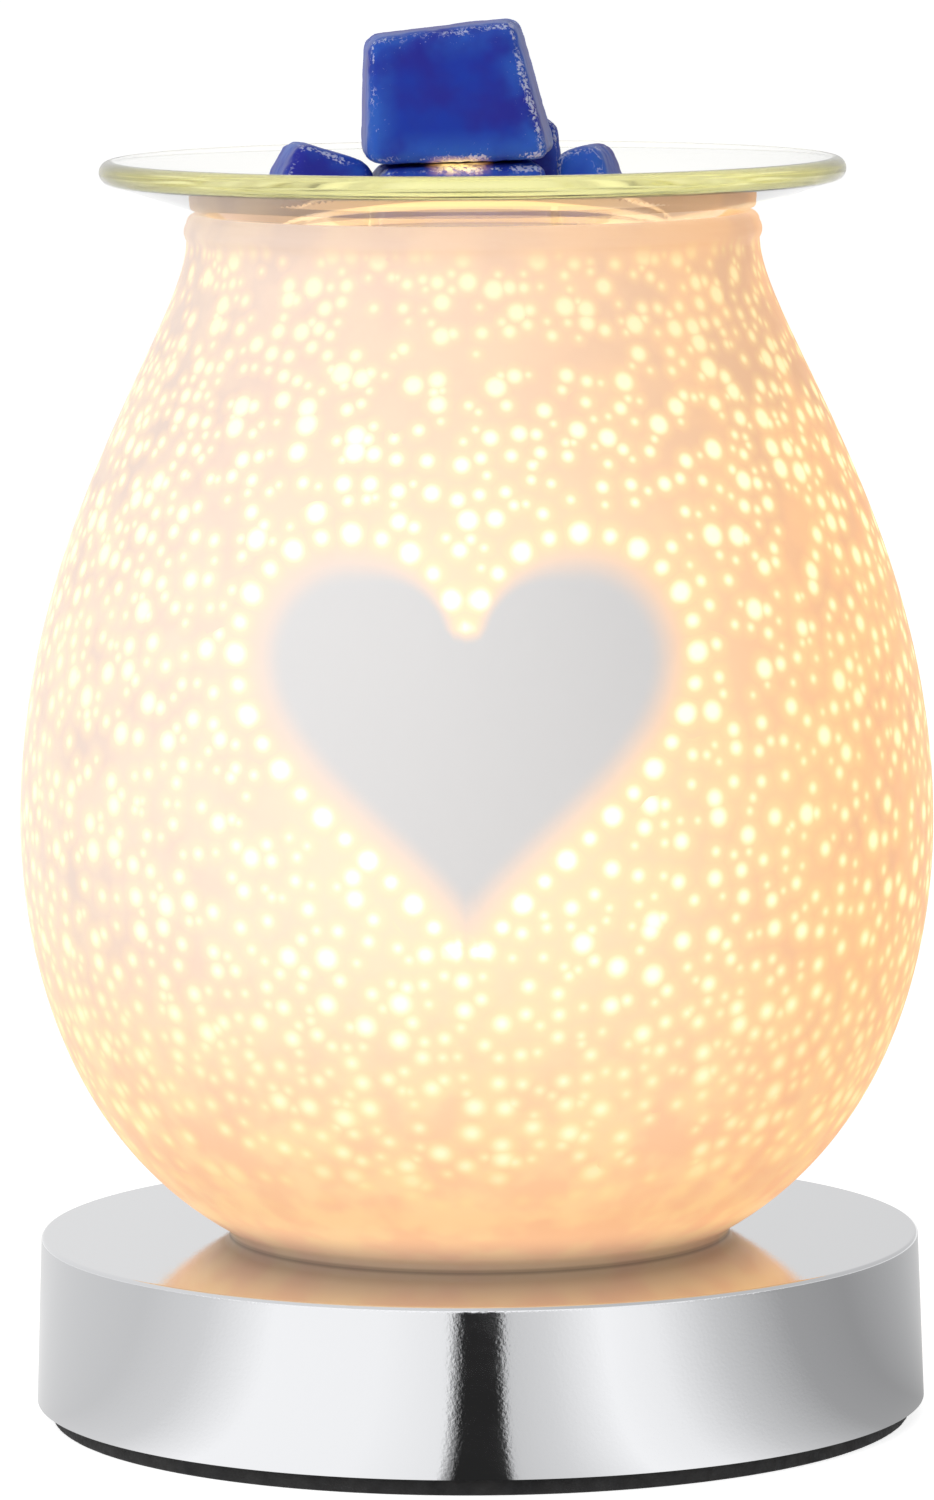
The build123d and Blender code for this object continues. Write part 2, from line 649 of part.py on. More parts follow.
nodes = {
    "base_shell": base_shell,
    "base_plate": base_plate,
    "base_pad": base_pad,
    "plate_posts": plate_posts,
    "plate_screws": plate_screws,
    "cord_gland": cord_gland,
    "stem_tube": stem_tube,
    "stem_washer": stem_washer,
    "stem_nut": stem_nut,
    "touch_terminal": touch_terminal,
    "holder_body": holder_body,
    "holder_insert": holder_insert,
    "holder_shell": holder_shell,
    "holder_contact": holder_contact,
    "holder_terminal": holder_terminal,
    "holder_collar": holder_collar,
    "bulb_cap": bulb_cap,
    "bulb_insulator": bulb_insulator,
    "bulb_contact": bulb_contact,
    "bulb_glass": bulb_glass,
    "bulb_mount": bulb_mount,
    "bulb_leads": bulb_leads,
    "bulb_filament": bulb_filament,
    "glass_shade": glass_shade,
    "shade_gasket": shade_gasket,
    "ring_washer": ring_washer,
    "shade_ring": shade_ring,
    "glass_dish": glass_dish,
    "wax_top": softened(top_blank),
    "wax_under": softened(under_blank),
    "wax_left": softened(left_blank),
    "wax_right": softened(right_blank),
    "wax_back": softened(back_blank),
    "dimmer_tape": dimmer_tape,
    "dimmer_case": dimmer_case,
    "dimmer_board": dimmer_board,
    "dimmer_components": dimmer_components,
    "dimmer_lid": dimmer_lid_plate,
    "splice_caps": splice_caps,
    "lead_live": lead_live,
    "lead_neutral": lead_neutral,
    "lead_dimmer_neutral": lead_dimmer_neutral,
    "lead_supply": lead_supply,
    "lead_touch": lead_touch,
}

os.makedirs("parts", exist_ok=True)
for name, shape in nodes.items():
    export_step(shape, f"parts/{name}.step")
print(f"{len(nodes)} nodes, rim at {rim_z:.1f}, dish floor at {dish_floor_z:.1f}")
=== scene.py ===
# %% [markdown]
# # A wax melt warmer
# An electric warmer for scented wax: a chromed touch base, an egg-shaped glass shade that is lit from
# inside, and a clear glass dish of blue wax melts on its mouth. The CAD model already fixes every size
# and place, and every moving part. Blender brings what the eye sees: smooth meshes for the outside,
# a finish for every piece, and the studio light. Lengths are metres, +Z is up, the front faces -Y.

import math

import bpy
import numpy as np
from mathutils import Matrix, Vector


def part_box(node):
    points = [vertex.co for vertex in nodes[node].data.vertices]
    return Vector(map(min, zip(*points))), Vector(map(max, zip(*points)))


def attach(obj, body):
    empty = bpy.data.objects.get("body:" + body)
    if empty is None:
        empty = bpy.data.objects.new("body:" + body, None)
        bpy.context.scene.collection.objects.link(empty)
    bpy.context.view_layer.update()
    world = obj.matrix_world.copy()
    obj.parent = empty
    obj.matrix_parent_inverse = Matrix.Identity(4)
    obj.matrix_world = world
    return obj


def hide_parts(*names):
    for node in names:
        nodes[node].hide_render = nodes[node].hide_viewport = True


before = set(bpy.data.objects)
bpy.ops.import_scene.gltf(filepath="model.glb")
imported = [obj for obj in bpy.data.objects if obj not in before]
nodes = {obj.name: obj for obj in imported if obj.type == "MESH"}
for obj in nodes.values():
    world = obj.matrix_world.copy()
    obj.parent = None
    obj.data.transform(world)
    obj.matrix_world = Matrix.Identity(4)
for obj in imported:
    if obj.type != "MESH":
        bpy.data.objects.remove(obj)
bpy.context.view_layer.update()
MM = 0.001

# %% [markdown]
# ## Camera
# The photograph was taken with a long lens from a little above the dish, so the base's top shows as a
# thin ellipse and the dish almost as a line. A camera could be placed by eye, but its height, pitch and
# focal length were worked out from the ellipses of the base, the shade's foot and the dish's rim.

# %% Camera
camera_place = Vector((0.0, -1.1685, 0.2275))
camera_pitch = math.radians(6.69)       # below the horizon
camera_turn = math.radians(0.062)       # to the left
camera_roll = math.radians(0.39)
camera_lens = 209.4                     # for a 36 mm long side

bpy.ops.object.camera_add()
camera = bpy.context.object
camera.data.lens = camera_lens
aim = Matrix.Rotation(camera_turn, 4, "Z") @ Matrix.Rotation(math.pi / 2 - camera_pitch, 4, "X")
camera.matrix_world = Matrix.Translation(camera_place) @ aim @ Matrix.Rotation(-camera_roll, 4, "Z")
bpy.context.scene.camera = camera
bpy.context.scene.view_settings.view_transform = "Standard"
print("camera at", camera.location[:])

# %% [markdown]
# ## Outlines
# The base, the shade and the dish are round, so each is drawn as half a cross-section and spun. These
# helpers give the points of an outline as (radius, height) pairs: a rounded corner, an arc through
# three points and a cubic curve. They are worked out, so changing one size keeps the outline smooth.

# %% Helpers for outlines


def corner(before, at, after, radius, count=8):
    """Points of a rounded corner between two straight runs."""
    before, at, after = Vector(before), Vector(at), Vector(after)
    back = (before - at).normalized()
    ahead = (after - at).normalized()
    half = back.angle(ahead) / 2
    middle = at + (back + ahead).normalized() * radius / math.sin(half)
    first = at + back * radius / math.tan(half) - middle
    last = at + ahead * radius / math.tan(half) - middle
    return [middle + first.lerp(last, i / count).normalized() * radius for i in range(count + 1)]


def arc(first, through, last, count=10):
    """Points of an arc through three points, the first one left out."""
    (ax, ay), (bx, by), (cx, cy) = first, through, last
    twice = 2 * (ax * (by - cy) + bx * (cy - ay) + cx * (ay - by))
    a, b, c = ax * ax + ay * ay, bx * bx + by * by, cx * cx + cy * cy
    middle = Vector((
        (a * (by - cy) + b * (cy - ay) + c * (ay - by)) / twice,
        (a * (cx - bx) + b * (ax - cx) + c * (bx - ax)) / twice))
    radius = (Vector(first) - middle).length
    stops = [math.atan2(y - middle.y, x - middle.x) for x, y in (first, through, last)]
    turns = [(end - start + math.pi) % math.tau - math.pi for start, end in zip(stops, stops[1:])]
    angles = [stops[0] + sum(turns) * i / count for i in range(1, count + 1)]
    return [middle + radius * Vector((math.cos(angle), math.sin(angle))) for angle in angles]


def bend(first, pull, push, last, count=32):
    """Points of a cubic curve, the first one left out."""
    points = [Vector(point) for point in (first, pull, push, last)]
    found = []
    for i in range(1, count + 1):
        t = i / count
        weights = ((1 - t) ** 3, 3 * t * (1 - t) ** 2, 3 * t * t * (1 - t), t ** 3)
        found.append(sum((w * p for w, p in zip(weights, points)), Vector((0.0, 0.0))))
    return found


# %% [markdown]
# ## Spinning
# A spin works as a potter's wheel does: a chain of edges is drawn by extruding one vertex from point to
# point, and turned round the Z axis. Where the last copy meets the first, and at the poles, doubles are
# merged, and only then are the normals turned outwards.

# %% Helpers for meshes
SPIN_STEPS = 256
WELD = 1e-6


def start(name, add, **settings):
    """Add a primitive by itself and open it in edit mode."""
    bpy.ops.object.select_all(action="DESELECT")
    add(**settings)
    piece = bpy.context.object
    piece.name = name
    piece.data.name = name
    bpy.ops.object.mode_set(mode="EDIT")
    bpy.ops.mesh.select_mode(type="VERT")
    return piece


def pick(piece, wanted):
    """Select the faces that are wanted, and nothing else, in edit mode."""
    bpy.ops.mesh.select_mode(type="FACE")
    bpy.ops.mesh.select_all(action="DESELECT")
    bpy.ops.object.mode_set(mode="OBJECT")
    for face in piece.data.polygons:
        face.select = wanted(face)
    bpy.ops.object.mode_set(mode="EDIT")


def weld():
    """Merge doubles and turn the normals outwards, in edit mode."""
    bpy.ops.mesh.select_all(action="SELECT")
    bpy.ops.mesh.remove_doubles(threshold=WELD)
    bpy.ops.mesh.normals_make_consistent(inside=False)


def smooth(piece, angle=35.0):
    """Leave edit mode with smooth shading, apart from edges sharper than the angle."""
    bpy.ops.object.mode_set(mode="OBJECT")
    bpy.ops.object.shade_smooth_by_angle(angle=math.radians(angle))
    print(f"{piece.name}: {len(piece.data.polygons)} faces")


def spun(name, outline, steps=SPIN_STEPS):
    """Draw an outline of (radius, height) points and spin it about Z."""
    piece = start(name, bpy.ops.mesh.primitive_plane_add, size=MM)
    bpy.ops.mesh.merge(type="CENTER")
    here = Vector((0.0, 0.0))
    for number, spot in enumerate(Vector(point) for point in outline):
        move = (spot.x - here.x, 0.0, spot.y - here.y)
        if number:
            bpy.ops.mesh.extrude_region_move(TRANSFORM_OT_translate={"value": move})
        else:
            bpy.ops.transform.translate(value=move)
        here = spot
    bpy.ops.mesh.select_all(action="SELECT")
    bpy.ops.mesh.remove_doubles(threshold=WELD)
    bpy.ops.mesh.spin(steps=steps, angle=math.tau, center=(0, 0, 0), axis=(0, 0, 1))
    weld()
    smooth(piece)
    return piece


def apply(piece, kind, **settings):
    """Add a modifier to a piece and apply it."""
    modifier = piece.modifiers.new(kind.lower(), kind)
    for setting, value in settings.items():
        setattr(modifier, setting, value)
    bpy.ops.object.select_all(action="DESELECT")
    piece.select_set(True)
    bpy.context.view_layer.objects.active = piece
    bpy.ops.object.modifier_apply(modifier=modifier.name)


def placed(piece, body, slot, *replaced):
    """Let a piece ride on its CAD body and stand for CAD nodes."""
    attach(piece, body)
    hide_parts(*replaced)


# %% [markdown]
# ## Base shell
# The base is one pressed sheet: a flat top, a small rolled edge and a wall with a little draft. A
# cylinder with a bevel would do, but chrome shows every fault in its normals, so the section is drawn
# with a short run beside each end of the rolled edge. The short runs keep the flat top really flat.

# %% Base shell
base_low, base_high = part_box("base_shell")
base_draft = 0.8 * MM
base_sheet = 0.9 * MM
base_edge, base_inner_edge = 0.5 * MM, 0.1 * MM
base_hole = 5.25 * MM
base_run = 0.4 * MM                     # short run beside the rolled edge
base_radius = base_high.x
base_top = base_high.z
base_top_radius = base_radius - base_draft


def base_section():
    """Closed section of the pressed shell, up the outside and down the inside."""
    foot = Vector((base_radius, base_low.z))
    shoulder = Vector((base_top_radius, base_top))
    middle = Vector((base_hole, base_top))
    sheet = Vector((base_sheet, 0.0))
    under = Vector((0.0, base_sheet))
    outside = corner(foot, shoulder, middle, base_edge)
    inside = corner(middle - under, shoulder - sheet - under, foot - sheet, base_inner_edge)
    up = (shoulder - foot).normalized() * base_run
    level = Vector((base_run, 0.0))
    return [
        foot, outside[0] - up, *outside, outside[-1] - level, middle, middle - under,
        inside[0] - level, *inside, inside[-1] - up, foot - sheet, foot]


base = spun("base_shell_chrome", base_section())
placed(base, "base", "chrome", "base_shell")

# %% [markdown]
# ## Hole for the gland
# A rubber gland sits low in the back wall. An inset face would follow the facets of the wall, so a
# cylinder is laid through it and a Boolean takes it away, which leaves a clean round hole.

# %% Hole for the gland
gland_low, gland_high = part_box("cord_gland")
gland_hole = 4.75 * MM
gland_middle = (gland_low + gland_high) / 2
bpy.ops.object.select_all(action="DESELECT")
bpy.ops.mesh.primitive_cylinder_add(
    radius=gland_hole, depth=2 * (gland_high.y - gland_low.y), vertices=64,
    location=gland_middle, rotation=(math.pi / 2, 0, 0))
gland_cutter = bpy.context.object
apply(base, "BOOLEAN", object=gland_cutter, operation="DIFFERENCE", solver="EXACT")
bpy.data.objects.remove(gland_cutter)
print("base shell with its gland hole:", len(base.data.polygons), "faces")

# %% [markdown]
# ## Foot pad
# A disc of dark foam is stuck under the base, a little smaller than the wall, and only its edge shows.
# A cut foam edge is never a perfect cylinder: its rims are soft and the weight presses it out a little.
# So a cylinder gets rounded rims and then a slight bulge and unevenness by displacement.

# %% Foot pad
pad_low, pad_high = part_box("base_pad")
pad_round = 0.5 * MM
pad_grain = 0.12 * MM
pad_radius = pad_high.x - pad_grain
pad = start(
    "base_pad_foam", bpy.ops.mesh.primitive_cylinder_add, vertices=192, radius=pad_radius,
    depth=pad_high.z - pad_low.z, end_fill_type="NGON")
bpy.ops.mesh.select_all(action="SELECT")
bpy.ops.transform.translate(value=(0, 0, (pad_high.z + pad_low.z) / 2))
bpy.ops.mesh.bevel(offset=pad_round, segments=4, affect="EDGES", clamp_overlap=True)
weld()
smooth(pad, 60.0)
foam_lumps = bpy.data.textures.new("foam_lumps", "CLOUDS")
foam_lumps.noise_scale = 2.5 * MM
apply(pad, "DISPLACE", texture=foam_lumps, texture_coords="LOCAL", strength=pad_grain, direction="X")
placed(pad, "base", "foam", "base_pad")

# %% [markdown]
# ## Glass shade
# The shade is an egg of white glass with a rounded lip. Two cubic curves give its outside, from the foot
# to the belly and from the belly to the neck, and the same curves moved in by the wall give its inside.
# A thin rim runs down from the foot and hides the gasket. A Solidify modifier could make the wall, but a
# closed section gives a cleaner lip and foot.

# %% Glass shade
shade_low, shade_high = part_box("glass_shade")
shade_wall = 2.6 * MM
shade_foot = Vector((33.9 * MM, shade_low.z))
shade_belly = Vector((shade_high.x, shade_low.z + 55.1 * MM))
shade_neck = Vector((38.4 * MM, shade_low.z + 133.6 * MM))
shade_hole = 14.5 * MM
shade_foot_round = 1.6 * MM
skirt_wall = 0.5 * MM                   # of the rim that hides the gasket
skirt_round = 0.2 * MM
skirt_drop = shade_low.z - base_top - 0.05 * MM
skirt_low = shade_low.z - skirt_drop
heel_angle = math.radians(30.3)
heel_pull = 28.7 * MM
hip_pull = 12.0 * MM
shoulder_pull = 39.7 * MM
throat_pull = 11.2 * MM
lip_height = 2.3 * MM
lip_bulge = 0.35 * MM
heel_along = Vector((math.cos(heel_angle), math.sin(heel_angle)))
heel_inward = shade_wall * Vector((-math.sin(heel_angle), math.cos(heel_angle)))


def shade_wall_curve(inset, low):
    """The shade's wall from the point low up to the neck, moved in by a distance."""
    share = inset / shade_wall
    pull = shade_foot + heel_along * heel_pull + heel_inward * share
    belly = shade_belly - Vector((inset, 0.0))
    neck = shade_neck - Vector((inset, 0.0))
    hip = belly - Vector((0.0, hip_pull))
    shoulder = belly + Vector((0.0, shoulder_pull))
    throat = neck - Vector((0.0, throat_pull))
    return bend(low, pull, hip, belly, 40) + bend(belly, shoulder, throat, neck, 48)


def shade_section():
    """Closed section of the shade: floor, outside, lip, inside."""
    ring = Vector((shade_hole, shade_foot.y))
    skirt = shade_foot - Vector((skirt_wall, 0.0))
    drop = Vector((0.0, skirt_drop))
    rim = [
        skirt, skirt - drop, *corner(skirt - drop, shade_foot - drop, shade_foot, skirt_round, 3),
        *corner(shade_foot - drop, shade_foot, shade_foot + heel_along * heel_pull, shade_foot_round, 4)]
    outside = shade_wall_curve(0.0, rim[-1])
    lip = shade_neck + Vector((0.0, lip_height))
    bead = arc(shade_neck, shade_neck + Vector((lip_bulge, lip_height / 2)), lip, 6)
    lip_inside = lip - Vector((shade_wall, 0.0))
    crown = arc(lip, (lip + lip_inside) / 2 + Vector((0.0, shade_wall / 2)), lip_inside, 10)
    floor_step = (shade_wall - heel_inward.y) / heel_along.y
    floor_edge = shade_foot + heel_inward + heel_along * floor_step
    inside = [floor_edge, *shade_wall_curve(shade_wall, floor_edge)]
    floor = Vector((shade_hole, floor_edge.y))
    return [ring, *rim, *outside, *bead, *crown, *reversed(inside), floor, ring]


shade = spun("glass_shade_lit", shade_section())
placed(shade, "shade", "shade_glass", "glass_shade")

# %% [markdown]
# ## Where the heart lies
# The dots and the heart are print and not shape. A chain of dots runs along a heart curve, the well
# known one with x = 16 sin^3 t, but it leaves out the two sharp ends of that curve. The finish needs
# to know three things at each point of the glass: how far it is from the chain, which way leads away
# from the chain, and how far along the chain it is, counted in dots. All are worked out once and kept
# as attributes of the mesh.

# %% Heart attributes
heart_middle = Vector((-1.2 * MM, 100.5 * MM))
heart_scale = Vector((1.864 * MM, 2.008 * MM))
heart_start, heart_end = 0.26, 2.71     # values of t at the notch and at the point
heart_dots = 23.5                       # on each side, and one dot lies in the notch
heart_far = 20.0 * MM                   # further away, the distance doesn't matter
heart_wide, heart_tall = 50 * MM, 60 * MM    # each way from its middle, the glass that is looked at
HEART_SAMPLES = 720


def heart_curve():
    """Points of the right half of the heart from its notch to its point, and the length up to each."""
    t = np.linspace(heart_start, heart_end, HEART_SAMPLES)
    across = 16 * np.sin(t) ** 3 * heart_scale.x
    up = (13 * np.cos(t) - 5 * np.cos(2 * t) - 2 * np.cos(3 * t) - np.cos(4 * t)) * heart_scale.y
    points = np.column_stack([across, up])
    points = np.vstack([[0.0, up[0]], points, [0.0, up[-1] - 0.3 * MM]])
    steps = np.hypot(*np.diff(points, axis=0).T)
    return points, np.concatenate([[0.0], np.cumsum(steps)])


def inside_heart(across, up, points):
    """Whether points right of the middle line lie inside the half heart, by counting crossings."""
    inside = np.zeros(len(across), bool)
    for (x0, y0), (x1, y1) in zip(points, points[1:]):
        crosses = (y0 > up) != (y1 > up)
        at = x0 + (up - y0) * (x1 - x0) / (y1 - y0 + 1e-12)
        inside ^= crosses & (across < at)
    return inside


def mark_heart(piece):
    """Store the signed distance from the heart, the way out of it and the count of dots on a mesh."""
    mesh = piece.data
    places = np.array([vertex.co for vertex in mesh.vertices])
    across = np.abs(places[:, 0] - heart_middle.x)
    up = places[:, 2] - heart_middle.y
    points, lengths = heart_curve()
    gap = np.full(len(places), heart_far)
    run = np.zeros(len(places))
    out = np.zeros((len(places), 3))
    front = places[:, 1] < 0
    for vertex in np.flatnonzero(front & (across < heart_wide) & (np.abs(up) < heart_tall)):
        away = np.hypot(points[:, 0] - across[vertex], points[:, 1] - up[vertex])
        nearest = away.argmin()
        gap[vertex] = min(heart_far, away[nearest])
        run[vertex] = lengths[nearest] / lengths[-1] * heart_dots
        out[vertex, 0] = (across[vertex] - points[nearest, 0]) / (away[nearest] + WELD)
        out[vertex, 1] = (up[vertex] - points[nearest, 1]) / (away[nearest] + WELD)
    out[:, 0] *= np.sign(places[:, 0] - heart_middle.x)
    within = inside_heart(across, up, points) & front
    gap[within] *= -1
    out[within] *= -1
    for name, values in (("heart_gap", gap), ("heart_run", run)):
        layer = mesh.attributes.new(name, "FLOAT", "POINT")
        layer.data.foreach_set("value", values.astype(np.float32))
    layer = mesh.attributes.new("heart_out", "FLOAT_VECTOR", "POINT")
    layer.data.foreach_set("vector", out.astype(np.float32).ravel())
    return lengths[-1] / heart_dots


heart_pitch = mark_heart(shade)
print(f"heart dots {heart_pitch / MM:.2f} mm apart")

# %% [markdown]
# ## Map for the dots
# Scattered dots have to stay round on a surface that bulges. Cells cut through space give dots that are
# cut anyhow, and a plain unrolling squeezes them near the mouth. A sailor's map keeps every small shape:
# each step up the glass counts as much as the same step round it. So the UV map has turns across, and
# the length up the wall divided by the girth as its height. Its seam is at the back.

# %% Dot map


def map_heights():
    """Height on the map for each height of the glass: the sum of steps up the outside over its girth."""
    outline = sorted((point.y, point.x) for point in shade_wall_curve(0.0, shade_foot))
    high, wide = np.array(outline).T
    steps = np.hypot(np.diff(high), np.diff(wide)) / (math.tau * (wide[1:] + wide[:-1]) / 2)
    return high, np.concatenate([[0.0], np.cumsum(steps)])


def mark_map(piece):
    """Give a spun piece a UV map of turns and map heights, with its seam at the back."""
    mesh = piece.data
    high, mapped = map_heights()
    layer = mesh.uv_layers.new(name="dot_map")
    for face in mesh.polygons:
        across = math.atan2(face.center.x, -face.center.y)
        for corner_index in face.loop_indices:
            spot = mesh.vertices[mesh.loops[corner_index].vertex_index].co
            turn = math.atan2(spot.x, -spot.y) - across
            turn = across + (turn + math.pi) % math.tau - math.pi
            layer.data[corner_index].uv = (0.5 + turn / math.tau, np.interp(spot.z, high, mapped))
    return mapped[-1]


print(f"dot map: 1 turn wide, {mark_map(shade):.2f} turns high")

# %% [markdown]
# ## Inside of the glass
# The inside of the shade is a bare white wall beside the lamp, so it looks quite different from the
# outside. A second material would need a border somewhere on the lip. One finish for both sides only has
# to know which side it is on: a vertex is on the inside if its normal leans towards the axis.

# %% Inside of the glass
floor_level = shade_low.z + 0.9 * shade_wall
inner = [
    vertex.co.xy.dot(vertex.normal.xy) < 0 and floor_level < vertex.co.z < shade_neck.y
    for vertex in shade.data.vertices]
layer = shade.data.attributes.new("inside", "FLOAT", "POINT")
layer.data.foreach_set("value", [float(side) for side in inner])
print(sum(inner), "vertices on the inside of the glass")

# %% [markdown]
# ## Glass dish
# The dish is a clear saucer, bent from a disc of window glass: a flat floor, a wall that rises at a low
# angle, and a fire-polished rim. It is spun as one closed section, because light has to enter and leave
# through real surfaces for the glass to bend it as it should.

# %% Glass dish
dish_low, dish_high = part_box("glass_dish")
dish_thickness = 3.0 * MM
dish_slope = math.radians(18.0)
dish_floor_radius = 25.0 * MM
dish_rim = 1.7 * MM
dish_corner = 6.0 * MM
rim_middle = dish_high.x - dish_rim
rim_under = dish_low.z + (rim_middle - dish_floor_radius) * math.tan(dish_slope)
rim_over = rim_under + dish_thickness / math.cos(dish_slope)
dish_floor = dish_low.z + dish_thickness
dish_inner = dish_floor_radius - dish_thickness * math.tan(dish_slope / 2)


def dish_section():
    """Section of the dish from the middle of its underside to the middle of its floor."""
    under, over = (rim_middle, rim_under), (rim_middle, rim_over)
    rim = arc(under, (dish_high.x, (rim_under + rim_over) / 2), over, 16)
    bottom, floor = (0.0, dish_low.z), (0.0, dish_floor)
    below = corner(bottom, (dish_floor_radius, dish_low.z), under, dish_corner + dish_thickness, 12)
    above = corner(over, (dish_inner, dish_floor), floor, dish_corner, 12)
    return [bottom, *below, under, *rim, *above, floor]


dish = spun("glass_dish_clear", dish_section())
placed(dish, "dish", "dish_glass", "glass_dish")

# %% [markdown]
# ## Wax melts
# The melts are blocks broken off a moulded bar: tapered so that they leave the mould, with soft edges
# that are scuffed white. Each starts as a cube at its size, is tapered in edit mode and bevelled. A
# voxel remesh gives it an even skin, and two displacements give it a hand-poured surface and chipped
# edges. Only then is a melt leant over and set down in the box that the CAD model keeps for it. The top
# melt leans more than its seat does, so both are cut along the seat before they are leant over.

# %% Sizes of the melts
wax_taper = math.radians(8.5)
wax_round = 1.9 * MM
wax_voxel = 0.4 * MM
wax_swell = 0.3 * MM                    # depth of the poured unevenness
wax_chip = 0.5 * MM                     # depth of the chips along the edges
bar_height = 16.6 * MM
under_height = 7.0 * MM                 # of the under melt, at its middle
top_break = 1.7 * MM                    # height at which the top melt is broken off
top_front = 0.91                        # width of the top melt's front over its back
top_tilt, seat_tilt = -6.5, -1.5        # of the top melt and of the break that it rests on
melts = {
    # node: body, size, tilt, turn
    "wax_top": ("top_melt", (27.2 * MM, 23.0 * MM, bar_height + 2.9 * MM), top_tilt, 0.0),
    "wax_under": ("under_melt", (24.0 * MM, 22.0 * MM, bar_height), 0.0, 4.0),
    "wax_left": ("left_melt", (13.0 * MM, 16.0 * MM, 7.2 * MM), 19.0, 10.0),
    "wax_right": ("right_melt", (8.6 * MM, 14.0 * MM, 8.4 * MM), -12.0, -12.0),
    "wax_back": ("back_melt", (18.0 * MM, 10.0 * MM, 11.6 * MM), 0.0, 6.0),
}
nudges = {"wax_left": 1.2 * MM}         # to the right
print(len(melts), "melts")

# %% Helpers for the melts


def melt_block(name, size, spot):
    """A tapered block that stands beside the origin, each at its own spot in the noise."""
    width, depth, height = size
    block = start(name, bpy.ops.mesh.primitive_cube_add, size=1.0)
    bpy.ops.transform.resize(value=size)
    bpy.ops.transform.translate(value=(spot, 0, height / 2))
    pick(block, lambda face: face.normal.z > 0.5)
    narrower = 2 * height * math.tan(wax_taper)
    bpy.ops.transform.resize(
        value=(1 - narrower / width, 1 - narrower / depth, 1), center_override=(spot, 0, height))
    return block


def cut_across(at, slant, **kept):
    """Cut the open block along a slanting plane and close it again."""
    bpy.ops.mesh.select_all(action="SELECT")
    bpy.ops.mesh.bisect(plane_co=at, plane_no=slant, use_fill=True, **kept)
    weld()


def seat_normal(lean):
    """The way up from the seat, as a block sees it before it is leant over."""
    seat = Matrix.Rotation(math.radians(seat_tilt), 3, "Y") @ Vector((0, 0, 1))
    return lean.to_3x3().inverted() @ seat


def shape_top_melt(block, lean, spot):
    """Narrow the front, so that both sides show, and break the bottom off at the seat's tilt."""
    pick(block, lambda face: face.normal.y < -0.5)
    bpy.ops.transform.resize(value=(top_front, 1, 1), center_override=(spot, 0, 0))
    cut_across((spot, 0, top_break), seat_normal(lean), clear_inner=True)


def shape_under_melt(lean, spot):
    """Break the top off at the seat's tilt."""
    cut_across((spot, 0, under_height), seat_normal(lean), clear_outer=True)


def mark_edges(block, flats):
    """Store how far each vertex is from an edge: from the second nearest of the flat sides."""
    places = np.array([vertex.co for vertex in block.data.vertices])
    away = np.sort(np.stack([(point - places) @ normal for point, normal in flats]), axis=0)[1]
    layer = block.data.attributes.new("edge_gap", "FLOAT", "POINT")
    layer.data.foreach_set("value", np.abs(away).astype(np.float32))
    edges = block.vertex_groups.new(name="edges")
    for vertex, gap in enumerate(np.abs(away)):
        edges.add([vertex], max(0.0, 1.0 - gap / (2.5 * wax_round)), "REPLACE")


def set_down(block, node):
    """Move a block to the middle of a CAD node's box, onto its floor, or the top melt up to its lid."""
    places = np.array([vertex.co for vertex in block.data.vertices])
    lowest, highest = Vector(places.min(axis=0)), Vector(places.max(axis=0))
    low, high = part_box(node)
    move = (low + high - lowest - highest) / 2
    move.z = high.z - highest.z if node == "wax_top" else low.z - lowest.z
    move.x += nudges.get(node, 0.0)
    block.data.transform(Matrix.Translation(move))


# %% Wax melts
wax_lumps = bpy.data.textures.new("wax_lumps", "CLOUDS")
wax_lumps.noise_scale = 6.0 * MM
wax_chips = bpy.data.textures.new("wax_chips", "CLOUDS")
wax_chips.noise_scale = 1.0 * MM


def make_melt(node, body, size, tilt, turn, spot):
    """One melt: block, cut, soft edges, even skin, unevenness, lean."""
    lean = Matrix.Rotation(math.radians(turn), 4, "Z") @ Matrix.Rotation(math.radians(tilt), 4, "Y")
    block = melt_block(node + "_block", size, spot)
    if node == "wax_top":
        shape_top_melt(block, lean, spot)
    if node == "wax_under":
        shape_under_melt(lean, spot)
    bpy.ops.object.mode_set(mode="OBJECT")
    flats = [(np.array(face.center), np.array(face.normal)) for face in block.data.polygons]
    bpy.ops.object.mode_set(mode="EDIT")
    bpy.ops.mesh.select_all(action="SELECT")
    bpy.ops.mesh.bevel(offset=wax_round, segments=4, affect="EDGES")
    weld()
    bpy.ops.object.mode_set(mode="OBJECT")
    apply(block, "REMESH", mode="VOXEL", voxel_size=wax_voxel, use_smooth_shade=True)
    mark_edges(block, flats)
    apply(block, "DISPLACE", texture=wax_lumps, texture_coords="LOCAL", strength=wax_swell)
    apply(block, "DISPLACE", texture=wax_chips, texture_coords="LOCAL", strength=wax_chip,
          mid_level=0.8, vertex_group="edges")
    apply(block, "SMOOTH", factor=0.5, iterations=2)
    block.data.transform(lean)
    set_down(block, node)
    placed(block, body, "wax", node)
    print(f"{block.name}: {len(block.data.polygons)} faces")
    return block


wax_pieces = []
for node, (body, size, tilt, turn) in melts.items():
    spot = 0.1 * len(wax_pieces)
    wax_pieces.append(make_melt(node, body, size, tilt, turn, spot))


def reach_at_middle(block, pick_end):
    """The height of a block's underside or top near the Z axis."""
    near = [vertex.co.z for vertex in block.data.vertices if vertex.co.xy.length < 3 * MM]
    return pick_end(near)


seat_top = reach_at_middle(wax_pieces[1], max)
print(f"top melt {1000 * (reach_at_middle(wax_pieces[0], min) - seat_top):.2f} mm above the under melt")

# %% [markdown]
# ## Finishes
# A finish is a small tree of nodes. Each one starts at a point of the piece, in Object coordinates, so
# that the pattern stays on the piece when it moves, and ends at the Principled shader. These helpers
# keep the trees short: one adds a node, the others do arithmetic, soft steps, mixing, noise and bumps.

# %% Helpers for finishes
finishes = {}


